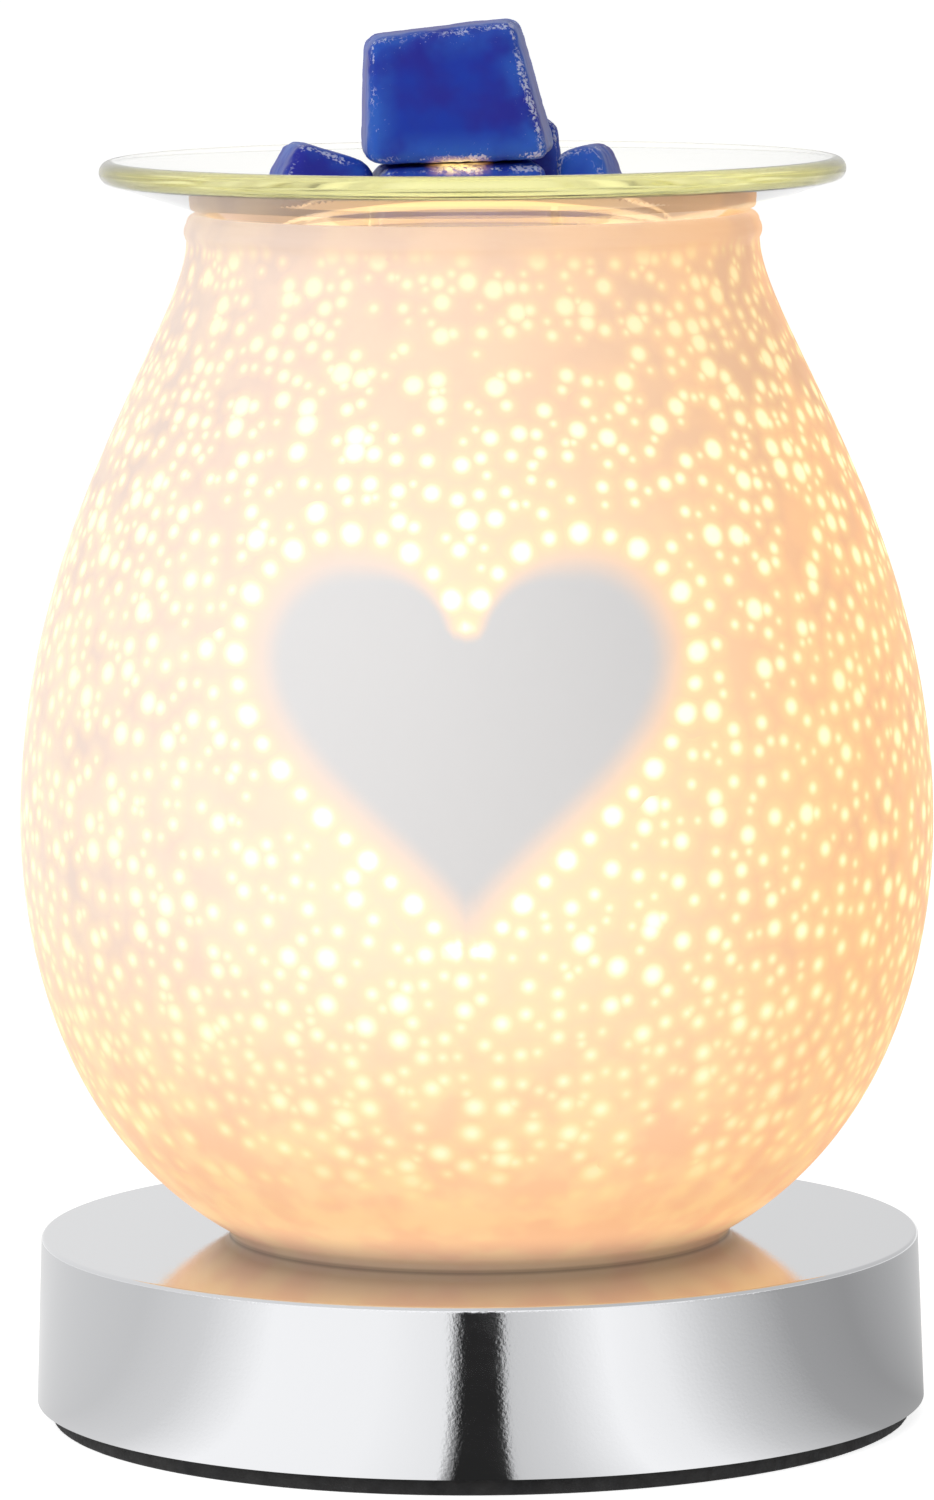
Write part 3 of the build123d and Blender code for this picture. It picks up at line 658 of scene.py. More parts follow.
def new_finish(slot):
    """A new material for one slot of the record: its tree and its shader."""
    material = bpy.data.materials.new(slot + "_finish")
    material.use_nodes = True
    finishes[slot] = material
    return material.node_tree, material.node_tree.nodes["Principled BSDF"]


def add(tree, kind, sockets=None, **settings):
    """Add a node, then set or link its sockets by name or number."""
    made = tree.nodes.new("ShaderNode" + kind)
    for setting, value in settings.items():
        setattr(made, setting, value)
    for socket, value in (sockets or {}).items():
        put(tree, made.inputs[socket], value)
    return made


def put(tree, socket, value):
    """Link a socket to another one, or set its value."""
    if isinstance(value, bpy.types.NodeSocket):
        tree.links.new(value, socket)
    elif isinstance(value, tuple) and len(value) == 3 and socket.type == "RGBA":
        socket.default_value = (*value, 1.0)
    else:
        socket.default_value = value


def maths(tree, operation, *values):
    """One step of arithmetic."""
    return add(tree, "Math", dict(enumerate(values)), operation=operation).outputs[0]


def fade(tree, value, low, high, first=0.0, last=1.0):
    """A soft step from first to last, while a value goes from low to high."""
    sockets = {"Value": value, "From Min": low, "From Max": high, "To Min": first, "To Max": last}
    return add(tree, "MapRange", sockets, interpolation_type="SMOOTHSTEP").outputs[0]


def mixed(tree, share, first, second, how="MIX"):
    """Two colours, mixed by a share."""
    return add(tree, "Mix", {0: share, 6: first, 7: second}, data_type="RGBA", blend_type=how).outputs[2]


def place(tree):
    """The point on the piece, in metres."""
    return add(tree, "TexCoord").outputs["Object"]


def noise(tree, size, detail=2.0):
    """Soft random values around a half, in lumps of a size."""
    return add(tree, "TexNoise", {"Vector": place(tree), "Scale": 1 / size, "Detail": detail}).outputs[0]


def attribute(tree, name):
    """A number that is stored on the mesh."""
    return add(tree, "Attribute", attribute_name=name).outputs["Fac"]


def bump(tree, shader, height, depth, strength=1.0):
    """Let a value from 0 to 1 raise the surface by a depth."""
    sockets = {"Height": height, "Distance": depth, "Strength": strength}
    tree.links.new(add(tree, "Bump", sockets).outputs["Normal"], shader.inputs["Normal"])


def set_values(tree, shader, **values):
    """Set or link the shader's sockets, with _ for a space in their names."""
    for name, value in values.items():
        put(tree, shader.inputs[name.replace("_", " ")], value)


def tell(*slots):
    """Say how many nodes finishes have."""
    for slot in slots:
        print(f"{slot}: {len(finishes[slot].node_tree.nodes)} nodes")


# %% [markdown]
# ## Lit glass
# The shade is white glass with a thin pearl coat. Dots were left clear in the coat, so the lamp inside
# shines through them as small warm suns, while the coat between them only glows. A real lamp behind
# real translucent glass would be slow and grainy, so the glow is emission and the daylight on the coat
# is the base colour. Two layers of Voronoi cells on the dot map give big dots and small ones: a cell's
# distance is turned into metres, and all that is nearer than a radius is a dot. A dot may reach into the
# next cell, so the two nearest cells are both asked, and no dot is cut off at a border. A dot whose middle
# is too near to the heart or to the seam is left out whole, and so is a small dot that would run into a
# big one. Towards the lip and the foot the dots blur and die away.

# %% Pattern of the dots
dot_girth = 330 * MM                        # of the glass where the dots have the sizes given here
# cells in a turn, least and largest radius of a dot, share of the dots that is missing at the foot
big_dots = (80.0, 0.70 * MM, 1.40 * MM, 0.3)
small_dots = (118.0, 0.38 * MM, 0.62 * MM, 1.0)
map_belly, map_lip = 0.20, 0.45             # heights on the map
lip_stretch = 1.36                          # of a dot on the map at the lip, where the girth is small
lip_missing = 0.42                          # share of the cells without a dot there
foot_stretch = 1.25                         # of a dot at the foot
dot_spread = 0.88                           # how freely a dot lies in its cell
dot_room = 1.8 * MM                         # a small dot this near to a big one is left out
chain_small, chain_big = 0.95 * MM, 1.4 * MM
halo_reach, halo_share = 1.7 * MM, 0.24
heart_room, seam_room = 1.5 * MM, 0.3 * MM  # between a scattered dot and the chain or the seam
# two heights, and the blur of a dot's edge there
lip_blur = (130 * MM, 160 * MM, 0.8 * MM, 1.05 * MM)
foot_blur = (80 * MM, 48 * MM, 0.0, 0.5 * MM)
dot_fades = (
    # heights in mm at which dots are bright and at which they are faint, and how faint
    (128, 156, 0.62), (157, 161, 0.0), (72, 42, 0.7), (44, 33, 0.0))
NOWHERE = 5 * MM                            # further than any dot reaches


def cells_of(tree, spot, count, feature="F1"):
    """Scattered cells on the dot map, so many in a turn: the nearest one, or with F2 the next."""
    return add(
        tree, "TexVoronoi", {"Vector": spot, "Scale": count, "Randomness": dot_spread},
        voronoi_dimensions="2D", feature=feature)


def by_height(tree, up, at_foot, at_belly, at_lip):
    """A value that changes from the foot of the map to its belly and on to its lip."""
    low = fade(tree, up, 0.6 * map_belly, 0.3 * map_belly, 0.0, at_foot - at_belly)
    return maths(tree, "ADD", low, fade(tree, up, map_belly, map_lip, at_belly, at_lip))


def heart_gap_at(tree, spot, there):
    """How far another point of the map is from the heart, by a step along the way out."""
    step = add(tree, "VectorMath", {0: there, 1: spot}, operation="SUBTRACT").outputs[0]
    out = add(tree, "Attribute", attribute_name="heart_out").outputs["Vector"]
    along = add(tree, "VectorMath", {0: step, 1: out}, operation="DOT_PRODUCT").outputs["Value"]
    return maths(tree, "MULTIPLY_ADD", along, dot_girth, attribute(tree, "heart_gap"))


def from_seam(tree, spot):
    """How far a point of the map is from the seam at the back."""
    across = add(tree, "SeparateXYZ", {0: spot}).outputs["X"]
    return maths(tree, "MULTIPLY", maths(tree, "PINGPONG", across, 0.5), dot_girth)


def one_scattered(tree, spot, feature, count, least, largest, foot_missing):
    """How far a point is outside one of many scattered dots, and the cell of that dot."""
    cell = cells_of(tree, spot, count, feature)
    away = maths(tree, "MULTIPLY", cell.outputs["Distance"], dot_girth / count)
    chance = add(tree, "SeparateColor", {0: cell.outputs["Color"]}).outputs
    radius = maths(tree, "MULTIPLY_ADD", maths(tree, "POWER", chance[0], 2.0), largest - least, least)
    centre = cell.outputs["Position"]
    up = add(tree, "SeparateXYZ", {0: centre}).outputs["Y"]
    radius = maths(tree, "MULTIPLY", radius, by_height(tree, up, foot_stretch, 0.9, lip_stretch))
    missing = maths(tree, "LESS_THAN", chance[1], by_height(tree, up, foot_missing, 0.0, lip_missing))
    to_heart = maths(tree, "SUBTRACT", heart_gap_at(tree, spot, centre), heart_room)
    to_seam = maths(tree, "SUBTRACT", from_seam(tree, centre), seam_room)
    room = maths(tree, "MINIMUM", to_heart, to_seam)
    missing = maths(tree, "MAXIMUM", missing, maths(tree, "LESS_THAN", room, radius))
    return maths(tree, "MULTIPLY_ADD", missing, NOWHERE, maths(tree, "SUBTRACT", away, radius)), cell


def all_scattered(tree, spot):
    """How far a point is outside the big dots and the small ones between them."""
    found = []
    for feature in ("F1", "F2"):
        found.append(one_scattered(tree, spot, feature, *big_dots)[0])
        small, cell = one_scattered(tree, spot, feature, *small_dots)
        nearest = cells_of(tree, cell.outputs["Position"], big_dots[0]).outputs["Distance"]
        room = maths(tree, "MULTIPLY", nearest, dot_girth / big_dots[0])
        crowded = maths(tree, "LESS_THAN", room, dot_room)
        found.append(maths(tree, "MULTIPLY_ADD", crowded, NOWHERE, small))
    least = found.pop()
    for away in found:
        least = maths(tree, "MINIMUM", least, away)
    return least


def chained(tree, gap):
    """How far a point is outside the nearest dot of the heart, which are small and big by turns."""
    run = attribute(tree, "heart_run")
    count = maths(tree, "ROUND", run)
    along = maths(tree, "MULTIPLY", maths(tree, "SUBTRACT", run, count), heart_pitch)
    across = maths(tree, "MULTIPLY", gap, gap)
    away = maths(tree, "SQRT", maths(tree, "MULTIPLY_ADD", along, along, across))
    odd = maths(tree, "PINGPONG", count, 1.0)
    radius = maths(tree, "MULTIPLY_ADD", odd, chain_big - chain_small, chain_small)
    return maths(tree, "SUBTRACT", away, radius)


def dot_field(tree):
    """How far a point is outside all the dots."""
    spot = add(tree, "UVMap", uv_map="dot_map").outputs[0]
    return maths(tree, "MINIMUM", all_scattered(tree, spot), chained(tree, attribute(tree, "heart_gap")))


def dot_light(tree, height):
    """How brightly a dot shines at a point: blurred and fainter towards the lip and the foot."""
    blur = maths(tree, "ADD", fade(tree, height, *lip_blur), fade(tree, height, *foot_blur))
    beyond = dot_field(tree)
    share = fade(tree, maths(tree, "DIVIDE", beyond, blur), 1.0, -1.0)
    halo = fade(tree, beyond, halo_reach, 0.0, 0.0, halo_share)
    share = maths(tree, "MAXIMUM", share, halo)
    for bright, faint, least in dot_fades:
        share = maths(tree, "MULTIPLY", share, fade(tree, height, bright * MM, faint * MM, 1.0, least))
    return share


# %% [markdown]
# ## Colours of the lit glass
# The lamp makes the glass brightest in front of it and more orange away from it. Daylight comes from the
# left, and its light is painted in as well: the coat is painted paler on the left and darker and warmer
# on the right, and the glow is painted less orange on the left. Low down the coat is painted darker and
# warmer, as painted shade. Where the foot meets the base, a soft painted shade and a thin painted shadow
# line show that it stands on something. Each of these is a soft step by height, by side or by distance
# from the lamp.

# %% Colours of the lit glass
# painted light: the coat is paler on the left, where daylight falls, and darker and warmer on the right
coat_left_painted_light, coat_right_painted_shade = (0.47, 0.46, 0.50), (0.42, 0.38, 0.30)
# painted shade: the first coat is darker and warmer, for low down on the shade
coat_low_painted_shade, coat_foot = (0.42, 0.37, 0.32), (0.66, 0.58, 0.55)
heart_colour = (0.90, 0.885, 0.88)
# painted light: the glow is less orange on the left, where daylight falls
glow_left_painted_light, glow_right_painted_light = (0.56, 0.38, 0.20), (0.78, 0.34, 0.10)
glow_middle, glow_low, glow_patch = (0.95, 0.56, 0.30), (0.72, 0.33, 0.12), (0.78, 0.46, 0.16)
dot_edge, dot_middle = (0.95, 0.80, 0.36), (1.20, 1.12, 0.85)
dot_rim = (0.95, 0.62, 0.10)
smudge_tint = (0.82, 0.80, 0.90)
# the lamp's light on the inside wall, painted as a glow that is fainter towards the mouth
inside_glow, inside_mouth = (1.0, 0.66, 0.32), (0.60, 0.45, 0.38)
lamp_height = 88 * MM
# from where to where a change goes, all but the first by height; the first carries painted light across
painted_light_left_to_right = (-50 * MM, 50 * MM)
to_low = (78 * MM, 40 * MM)
to_foot = (34 * MM, 27 * MM)
to_mouth = (130 * MM, 152 * MM)
# two heights and the share of the light there
foot_light = (25.6 * MM, 31 * MM, 0.26, 1.0)
high_light = (112 * MM, 145 * MM, 1.0, 0.84)
# painted shade at the foot: a soft shade and a thin dark shadow line where it stands on the base
foot_shade = (skirt_low - 0.1 * MM, skirt_low + 2.2 * MM, 0.44, 1.0)
foot_shadow_line = (skirt_low + 0.1 * MM, skirt_low + 0.5 * MM, 0.66, 1.0)


def near_lamp(tree, spot, reach):
    """1 in front of the lamp and 0 at a reach from it, to the sides and, half as fast, up and down."""
    across = maths(tree, "MULTIPLY", spot.outputs["X"], spot.outputs["X"])
    up = maths(tree, "MULTIPLY", maths(tree, "SUBTRACT", spot.outputs["Z"], lamp_height), 0.5)
    away = maths(tree, "SQRT", maths(tree, "MULTIPLY_ADD", up, up, across))
    return fade(tree, away, reach, 4 * MM)


def shade_finish():
    """White glass lit from inside, with dots and a heart."""
    tree, shader = new_finish("shade_glass")
    spot = add(tree, "SeparateXYZ", {0: place(tree)})
    height = spot.outputs["Z"]
    # painted light: this share from left to right makes the coat paler and the glow less orange on the left
    right = fade(tree, spot.outputs["X"], *painted_light_left_to_right)
    gap = attribute(tree, "heart_gap")
    dots = dot_light(tree, height)
    soft = fade(tree, attribute(tree, "heart_run"), 0.5, 5.0, -2.6 * MM, -6.6 * MM)
    heart = fade(tree, gap, -0.3 * MM, soft)
    smudge = mixed(tree, fade(tree, noise(tree, 10 * MM, 3.0), 0.35, 0.62), smudge_tint, (1.0, 1.0, 1.0))
    glow = mixed(tree, 1.0, mixed(tree, right, glow_left_painted_light, glow_right_painted_light), smudge, "MULTIPLY")
    middle = maths(tree, "MULTIPLY", near_lamp(tree, spot, 56 * MM), 0.85)
    glow = mixed(tree, middle, glow, glow_middle)
    low = fade(tree, height, *to_low)
    mottle = mixed(tree, fade(tree, noise(tree, 7 * MM), 0.35, 0.65), glow_low, glow_patch)
    glow = mixed(tree, maths(tree, "MULTIPLY", low, 0.75), glow, mottle)
    glow = mixed(tree, 1.0, glow, fade(tree, height, *high_light), "MULTIPLY")
    dot = mixed(tree, near_lamp(tree, spot, 64 * MM), dot_edge, dot_middle)
    glow = mixed(tree, dots, glow, mixed(tree, dots, dot_rim, dot))
    glow = mixed(tree, heart, glow, (0.0, 0.0, 0.0))
    glow = mixed(tree, 1.0, glow, fade(tree, height, *foot_light), "MULTIPLY")
    # painted light: the lamp's light on the inside wall, fainter towards the mouth
    inside = mixed(tree, fade(tree, height, *to_mouth), inside_glow, inside_mouth)
    glow = mixed(tree, attribute(tree, "inside"), glow, inside)
    # painted light and shade: the coat is paler on the left and darker and warmer low down
    coat = mixed(tree, low, mixed(tree, right, coat_left_painted_light, coat_right_painted_shade), coat_low_painted_shade)
    coat = mixed(tree, fade(tree, height, *to_foot), coat, coat_foot)
    # painted shade and a painted shadow line where the foot meets the base
    coat = mixed(tree, 1.0, coat, fade(tree, height, *foot_shade), "MULTIPLY")
    line = fade(tree, height, *foot_shadow_line)
    coat = mixed(tree, 1.0, coat, line, "MULTIPLY")
    glow = mixed(tree, 1.0, glow, line, "MULTIPLY")
    frost = fade(tree, noise(tree, 3 * MM), 0.3, 0.7, 0.42, 0.5)
    frost = maths(tree, "MULTIPLY_ADD", attribute(tree, "inside"), -0.3, frost)
    set_values(
        tree, shader, Base_Color=mixed(tree, heart, coat, heart_colour), Emission_Color=glow,
        Emission_Strength=1.0, Roughness=frost, IOR=1.5)


shade_finish()
tell("shade_glass")

# %% [markdown]
# ## Chrome
# The base is steel, plated with bright chrome, which is a mirror with a slightly bluish tint. What it
# looks like comes from what stands around it, so its own finish is simple: a very low roughness that
# changes a little from place to place, and a faint waviness of the pressed sheet under the plating.

# %% Chrome finish


def chrome_finish():
    """Bright plating on pressed sheet."""
    tree, shader = new_finish("chrome")
    haze = fade(tree, noise(tree, 5 * MM, 4.0), 0.3, 0.7, 0.03, 0.07)
    set_values(tree, shader, Base_Color=(0.66, 0.665, 0.68), Metallic=1.0, Roughness=haze)
    bump(tree, shader, noise(tree, 0.45 * MM, 3.0), 0.008 * MM)


chrome_finish()
tell("chrome")

# %% [markdown]
# ## Clear glass
# Window glass is clear on its face and green at its edge, because light runs a long way through it
# there. So the shader is fully clear and the tint comes from a volume that absorbs a little light on the
# way. Painting the rim would look wrong from above. The rim was ground and is not quite polished, so it
# is rougher than the rest, and the melts that mirror in it blur into streaks.

# %% Dish finish
dish_tint = (0.96, 0.94, 0.52)
dish_density = 18.0
dish_rim_satin = 0.16                   # roughness of the rim


def dish_finish():
    """Clear glass that has a tint in its depth, and a satin rim."""
    tree, shader = new_finish("dish_glass")
    smear = fade(tree, noise(tree, 8 * MM, 3.0), 0.45, 0.75, 0.0, 0.03)
    flat = add(tree, "VectorMath", {0: place(tree), 1: (1.0, 1.0, 0.0)}, operation="MULTIPLY").outputs[0]
    out = add(tree, "VectorMath", {0: flat}, operation="LENGTH").outputs["Value"]
    ground = fade(tree, out, rim_middle - 0.6 * MM, rim_middle + 0.2 * MM, 0.0, dish_rim_satin)
    set_values(
        tree, shader, Base_Color=(1.0, 1.0, 1.0), Roughness=maths(tree, "ADD", smear, ground), IOR=1.52,
        Transmission_Weight=1.0)
    depth = add(tree, "VolumeAbsorption", {"Color": dish_tint, "Density": dish_density})
    tree.links.new(depth.outputs[0], tree.nodes["Material Output"].inputs["Volume"])


dish_finish()
tell("dish_glass")

# %% [markdown]
# ## Wax
# The melts are dyed through and through, so light goes in, turns blue and comes out somewhere else.
# Subsurface scattering does that, and near the edges, where the wax is thin, it is painted paler as well,
# as painted light shining through. Handling has bruised the edges: there the wax is crumbly and white.
# The distance from the nearest edge is on the mesh, and noise breaks the bruise up. Between the top melt
# and the one under it, a little lamplight comes out at the front.

# %% Wax finish
wax_blue = (0.010, 0.044, 0.43)
wax_indigo = (0.019, 0.024, 0.33)
# painted light: paler blue for thin wax near the edges, as if lit through
wax_thin_painted_light = (0.030, 0.125, 0.55)
wax_bruise = (0.62, 0.66, 0.86)
lamp_in_gap, lamp_core = (1.0, 0.36, 0.06), (1.15, 0.88, 0.22)
lamp_gap = seat_top - 0.3 * MM          # height of the light between the melts
lamp_side = 1.8 * MM                    # how far to the left it comes out
# where it begins and where it is full: to the sides, above and below, and towards the front
lamp_wide, lamp_tall, lamp_deep = (4.8 * MM, 0.8 * MM), (1.6 * MM, 0.4 * MM), (-5.0 * MM, -7.5 * MM)


def bruises(tree, edge):
    """Where an edge is bruised white: in patches, in fine cracks beside it and in a few specks."""
    ragged = fade(tree, noise(tree, 0.4 * MM, 3.0), 0.3, 0.7, -0.5 * MM, 0.5 * MM)
    patchy = fade(tree, noise(tree, 5.0 * MM), 0.35, 0.65, 0.42 * MM, -0.5 * MM)
    patches = fade(tree, maths(tree, "ADD", edge, maths(tree, "ADD", ragged, patchy)), 0.6 * MM, 0.1 * MM)
    crack = maths(tree, "ABSOLUTE", maths(tree, "SUBTRACT", noise(tree, 1.3 * MM, 4.0), 0.5))
    beside = maths(tree, "ADD", edge, fade(tree, noise(tree, 4.0 * MM), 0.4, 0.6, 0.9 * MM, 0.0))
    cracks = fade(tree, crack, 0.028, 0.0, 0.0, 0.9)
    cracks = maths(tree, "MULTIPLY", cracks, fade(tree, beside, 1.7 * MM, 0.6 * MM))
    specks = fade(tree, noise(tree, 0.35 * MM), 0.68, 0.76, 0.0, 0.5)
    specks = maths(tree, "MULTIPLY", specks, fade(tree, edge, 3.5 * MM, 1.0 * MM))
    return maths(tree, "MAXIMUM", patches, maths(tree, "MAXIMUM", cracks, specks))


def lamp_through_gap(tree):
    """Lamplight that comes out between the top melt and the one under it, in the middle of the front."""
    spot = add(tree, "SeparateXYZ", {0: place(tree)})
    across = maths(tree, "ABSOLUTE", maths(tree, "ADD", spot.outputs["X"], lamp_side))
    above = maths(tree, "ABSOLUTE", maths(tree, "SUBTRACT", spot.outputs["Z"], lamp_gap))
    share = maths(tree, "MULTIPLY", fade(tree, across, *lamp_wide), fade(tree, above, *lamp_tall))
    share = maths(tree, "MULTIPLY", share, fade(tree, spot.outputs["Y"], *lamp_deep))
    share = maths(tree, "MULTIPLY", share, fade(tree, noise(tree, 0.9 * MM, 3.0), 0.35, 0.55, 0.3, 1.0))
    return mixed(tree, share, (0.0, 0.0, 0.0), mixed(tree, share, lamp_in_gap, lamp_core))


def wax_finish():
    """Dyed wax, with painted light that makes it paler where it is thin, and bruised along its edges."""
    tree, shader = new_finish("wax")
    edge = attribute(tree, "edge_gap")
    worn = bruises(tree, edge)
    cloud = fade(tree, noise(tree, 9 * MM, 3.0), 0.35, 0.65)
    colour = mixed(tree, cloud, wax_indigo, wax_blue)
    # painted light: paler where the wax is thin near the edges
    thin = maths(tree, "MULTIPLY", fade(tree, edge, 5.0 * MM, 0.5 * MM), cloud)
    colour = mixed(tree, thin, colour, wax_thin_painted_light)
    colour = mixed(tree, maths(tree, "MULTIPLY", worn, 0.8), colour, wax_bruise)
    set_values(
        tree, shader, Base_Color=colour, Roughness=fade(tree, worn, 0.0, 1.0, 0.38, 0.7), IOR=1.44,
        Specular_IOR_Level=0.2, Subsurface_Weight=0.4, Subsurface_Radius=(0.4, 0.7, 3.0),
        Subsurface_Scale=1.0 * MM, Emission_Color=lamp_through_gap(tree), Emission_Strength=1.0)
    grain = maths(tree, "MULTIPLY_ADD", worn, noise(tree, 0.5 * MM, 4.0), noise(tree, 2.5 * MM, 3.0))
    bump(tree, shader, grain, 0.25 * MM, 0.5)


wax_finish()
tell("wax")

# %% [markdown]
# ## Lamp
# The bulb is a small incandescent one. Its thin glass is lit up by the filament behind it. Drawn as bright
# as it is, it would be a white hole in the picture, so the glass is a warm glow that keeps its shape. It
# shows from above, through the dish, and when the shade is off.

# %% Lamp finishes


def bulb_finish():
    """Thin glass, lit up by the filament."""
    tree, shader = new_finish("bulb_glass")
    frost = fade(tree, noise(tree, 2 * MM), 0.3, 0.7, 0.05, 0.12)
    glow = mixed(tree, noise(tree, 14 * MM), (1.0, 0.52, 0.16), (1.0, 0.60, 0.22))
    set_values(
        tree, shader, Base_Color=(0.62, 0.56, 0.46), Roughness=frost, Emission_Color=glow,
        Emission_Strength=0.62)


def filament_finish():
    """White-hot tungsten wire."""
    tree, shader = new_finish("filament")
    heat = mixed(tree, noise(tree, 1 * MM), (1.0, 0.55, 0.22), (1.0, 0.75, 0.40))
    set_values(
        tree, shader, Base_Color=(0.3, 0.3, 0.3), Roughness=0.4, Emission_Color=heat,
        Emission_Strength=40.0)


bulb_finish()
filament_finish()
tell("bulb_glass", "filament")

# %% [markdown]
# ## Small parts
# Everything inside the base and around the lamp holder has a plain finish of its own material, but the
# silicone gasket is painted warm, as painted lamplight. Each gets two tones that mix in soft patches, a
# roughness and a grain, because even a bare screw is not the same all over.

# %% Finishes of the small parts
small_parts = {
    # slot: first tone, second tone, metallic, roughness, size of the grain, depth of the grain
    "steel": ((0.52, 0.53, 0.55), (0.42, 0.43, 0.45), 1.0, 0.32, 0.8 * MM, 0.01 * MM),
    "brass": ((0.72, 0.50, 0.22), (0.60, 0.40, 0.16), 1.0, 0.30, 0.9 * MM, 0.01 * MM),
    "nickel": ((0.66, 0.63, 0.58), (0.55, 0.52, 0.48), 1.0, 0.28, 0.8 * MM, 0.01 * MM),
    "solder": ((0.58, 0.58, 0.60), (0.46, 0.46, 0.48), 1.0, 0.38, 0.6 * MM, 0.02 * MM),
    "foam": ((0.018, 0.018, 0.019), (0.034, 0.033, 0.033), 0.0, 0.9, 0.5 * MM, 0.12 * MM),
    "rubber": ((0.020, 0.020, 0.021), (0.032, 0.031, 0.031), 0.0, 0.62, 0.7 * MM, 0.03 * MM),
    # painted light: the silicone is painted warm, as the lamp's light through the glass would make it
    "silicone": ((0.70, 0.52, 0.42), (0.62, 0.46, 0.37), 0.0, 0.5, 1.0 * MM, 0.02 * MM),
    "holder_plastic": ((0.038, 0.038, 0.039), (0.056, 0.055, 0.055), 0.0, 0.38, 0.9 * MM, 0.02 * MM),
    "case_plastic": ((0.74, 0.74, 0.73), (0.66, 0.66, 0.65), 0.0, 0.42, 0.9 * MM, 0.02 * MM),
    "component_plastic": ((0.05, 0.05, 0.06), (0.08, 0.08, 0.09), 0.0, 0.35, 0.6 * MM, 0.01 * MM),
    "steatite": ((0.80, 0.78, 0.72), (0.70, 0.68, 0.62), 0.0, 0.55, 0.6 * MM, 0.02 * MM),
    "black_glass": ((0.012, 0.012, 0.014), (0.022, 0.020, 0.022), 0.0, 0.12, 1.0 * MM, 0.01 * MM),
    "tape": ((0.80, 0.79, 0.74), (0.70, 0.69, 0.64), 0.0, 0.8, 0.5 * MM, 0.05 * MM),
    "board": ((0.05, 0.28, 0.12), (0.04, 0.22, 0.09), 0.0, 0.35, 0.6 * MM, 0.02 * MM),
    "wire_black": ((0.015, 0.015, 0.016), (0.028, 0.028, 0.029), 0.0, 0.4, 1.0 * MM, 0.01 * MM),
    "wire_white": ((0.78, 0.78, 0.76), (0.70, 0.70, 0.68), 0.0, 0.4, 1.0 * MM, 0.01 * MM),
    "wire_yellow": ((0.75, 0.55, 0.06), (0.66, 0.47, 0.05), 0.0, 0.4, 1.0 * MM, 0.01 * MM),
}


def plain_finish(slot, first, second, metallic, roughness, grain, depth):
    """Two tones in soft patches, with a fine grain."""
    tree, shader = new_finish(slot)
    patches = fade(tree, noise(tree, 6 * grain, 3.0), 0.3, 0.7)
    dull = fade(tree, noise(tree, 3 * grain), 0.3, 0.7, 0.9 * roughness, 1.1 * roughness)
    set_values(
        tree, shader, Base_Color=mixed(tree, patches, first, second), Metallic=metallic, Roughness=dull)
    bump(tree, shader, noise(tree, grain, 4.0), depth, 0.7)


for slot, facts in small_parts.items():
    plain_finish(slot, *facts)
tell(*small_parts)

# %% [markdown]
# ## Dressing
# A CAD node's material carries the name of its slot, so its finish is found by that name. The new pieces
# have no material yet, and a short list says which finish each of them gets.

# %% Give every piece its finish
for cad in nodes.values():
    for slot in cad.material_slots:
        slot.material = finishes[slot.material.name.split(".")[0]]
dressed = {base: "chrome", pad: "foam", shade: "shade_glass", dish: "dish_glass"}
dressed.update({melt: "wax" for melt in wax_pieces})
for piece, slot in dressed.items():
    piece.data.materials.append(finishes[slot])
print(len(finishes), "finishes on", len(nodes) + len(dressed), "pieces")

# %% [markdown]
# ## Stage
# The lamp stands on a plain white table in a white room. The camera has to see pure white there, so the
# floor and the room are brighter for camera rays than they are as lamps. Mirrors and clear glass see
# the same white. The floor still takes the lamp's shadow.

# %% Floor and room
floor_colour = (0.8, 0.8, 0.8)
floor_lift = 0.76                       # what the eye sees beyond the light on the floor
room_light = 0.38
room_seen = 1.0


def seen_directly(tree):
    """1 for what the camera sees, straight or by way of a mirror or clear glass."""
    path = add(tree, "LightPath")
    mirrored = maths(tree, "MAXIMUM", path.outputs["Is Glossy Ray"], path.outputs["Is Transmission Ray"])
    return maths(tree, "MAXIMUM", path.outputs["Is Camera Ray"], mirrored)


bpy.ops.object.select_all(action="DESELECT")
bpy.ops.mesh.primitive_plane_add(size=40.0)
floor = bpy.context.object
floor.name = "floor"
tree, shader = new_finish("floor")
lift = maths(tree, "MULTIPLY", seen_directly(tree), floor_lift)
set_values(
    tree, shader, Base_Color=floor_colour, Roughness=0.9, Specular_IOR_Level=0.0,
    Emission_Color=(1.0, 1.0, 1.0), Emission_Strength=lift)
floor.data.materials.append(finishes["floor"])

room = bpy.data.worlds.new("room")
bpy.context.scene.world = room
room.use_nodes = True
tree = room.node_tree
strength = maths(tree, "MULTIPLY_ADD", seen_directly(tree), room_seen - room_light, room_light)
put(tree, tree.nodes["Background"].inputs["Strength"], strength)
tree.nodes["Background"].inputs["Color"].default_value = (1.0, 1.0, 1.0, 1.0)
print("floor and room")

# %% [markdown]
# ## Cards for the chrome
# A mirror shows what stands around it, so a photographer places cards: white ones where it should
# shine, grey ones to give it shape and a black strip for a crisp line. The base's wall looks out over
# the table, so its cards are one ring that lies round the base, with a tone for each direction. The
# base's top looks up at the far wall, so a tent of grey sheet stands round it, paler on the left. Only
# mirrors see the cards.

# %% Cards
ring_inside, ring_outside = 61 * MM, 420 * MM
ring_height = 0.2 * MM
ring_tones = {
    # direction in degrees, to the right of the front: tone
    -180: 0.58, -130: 0.66, -85: 0.60, -66: 0.70, -48: 1.0, -22: 0.98, -6.5: 0.88, -5: 0.02,
    4.2: 0.02, 5.7: 0.62, 15: 0.72, 28: 1.0, 40: 0.92, 55: 0.62, 75: 0.36, 95: 0.31, 130: 0.46, 180: 0.58}
sheet_radius, sheet_height, sheet_low = 0.8, 1.4, 95 * MM
sheet_left, sheet_right = 0.74, 0.56
card_light = 1.34                       # chrome gives back two thirds of it


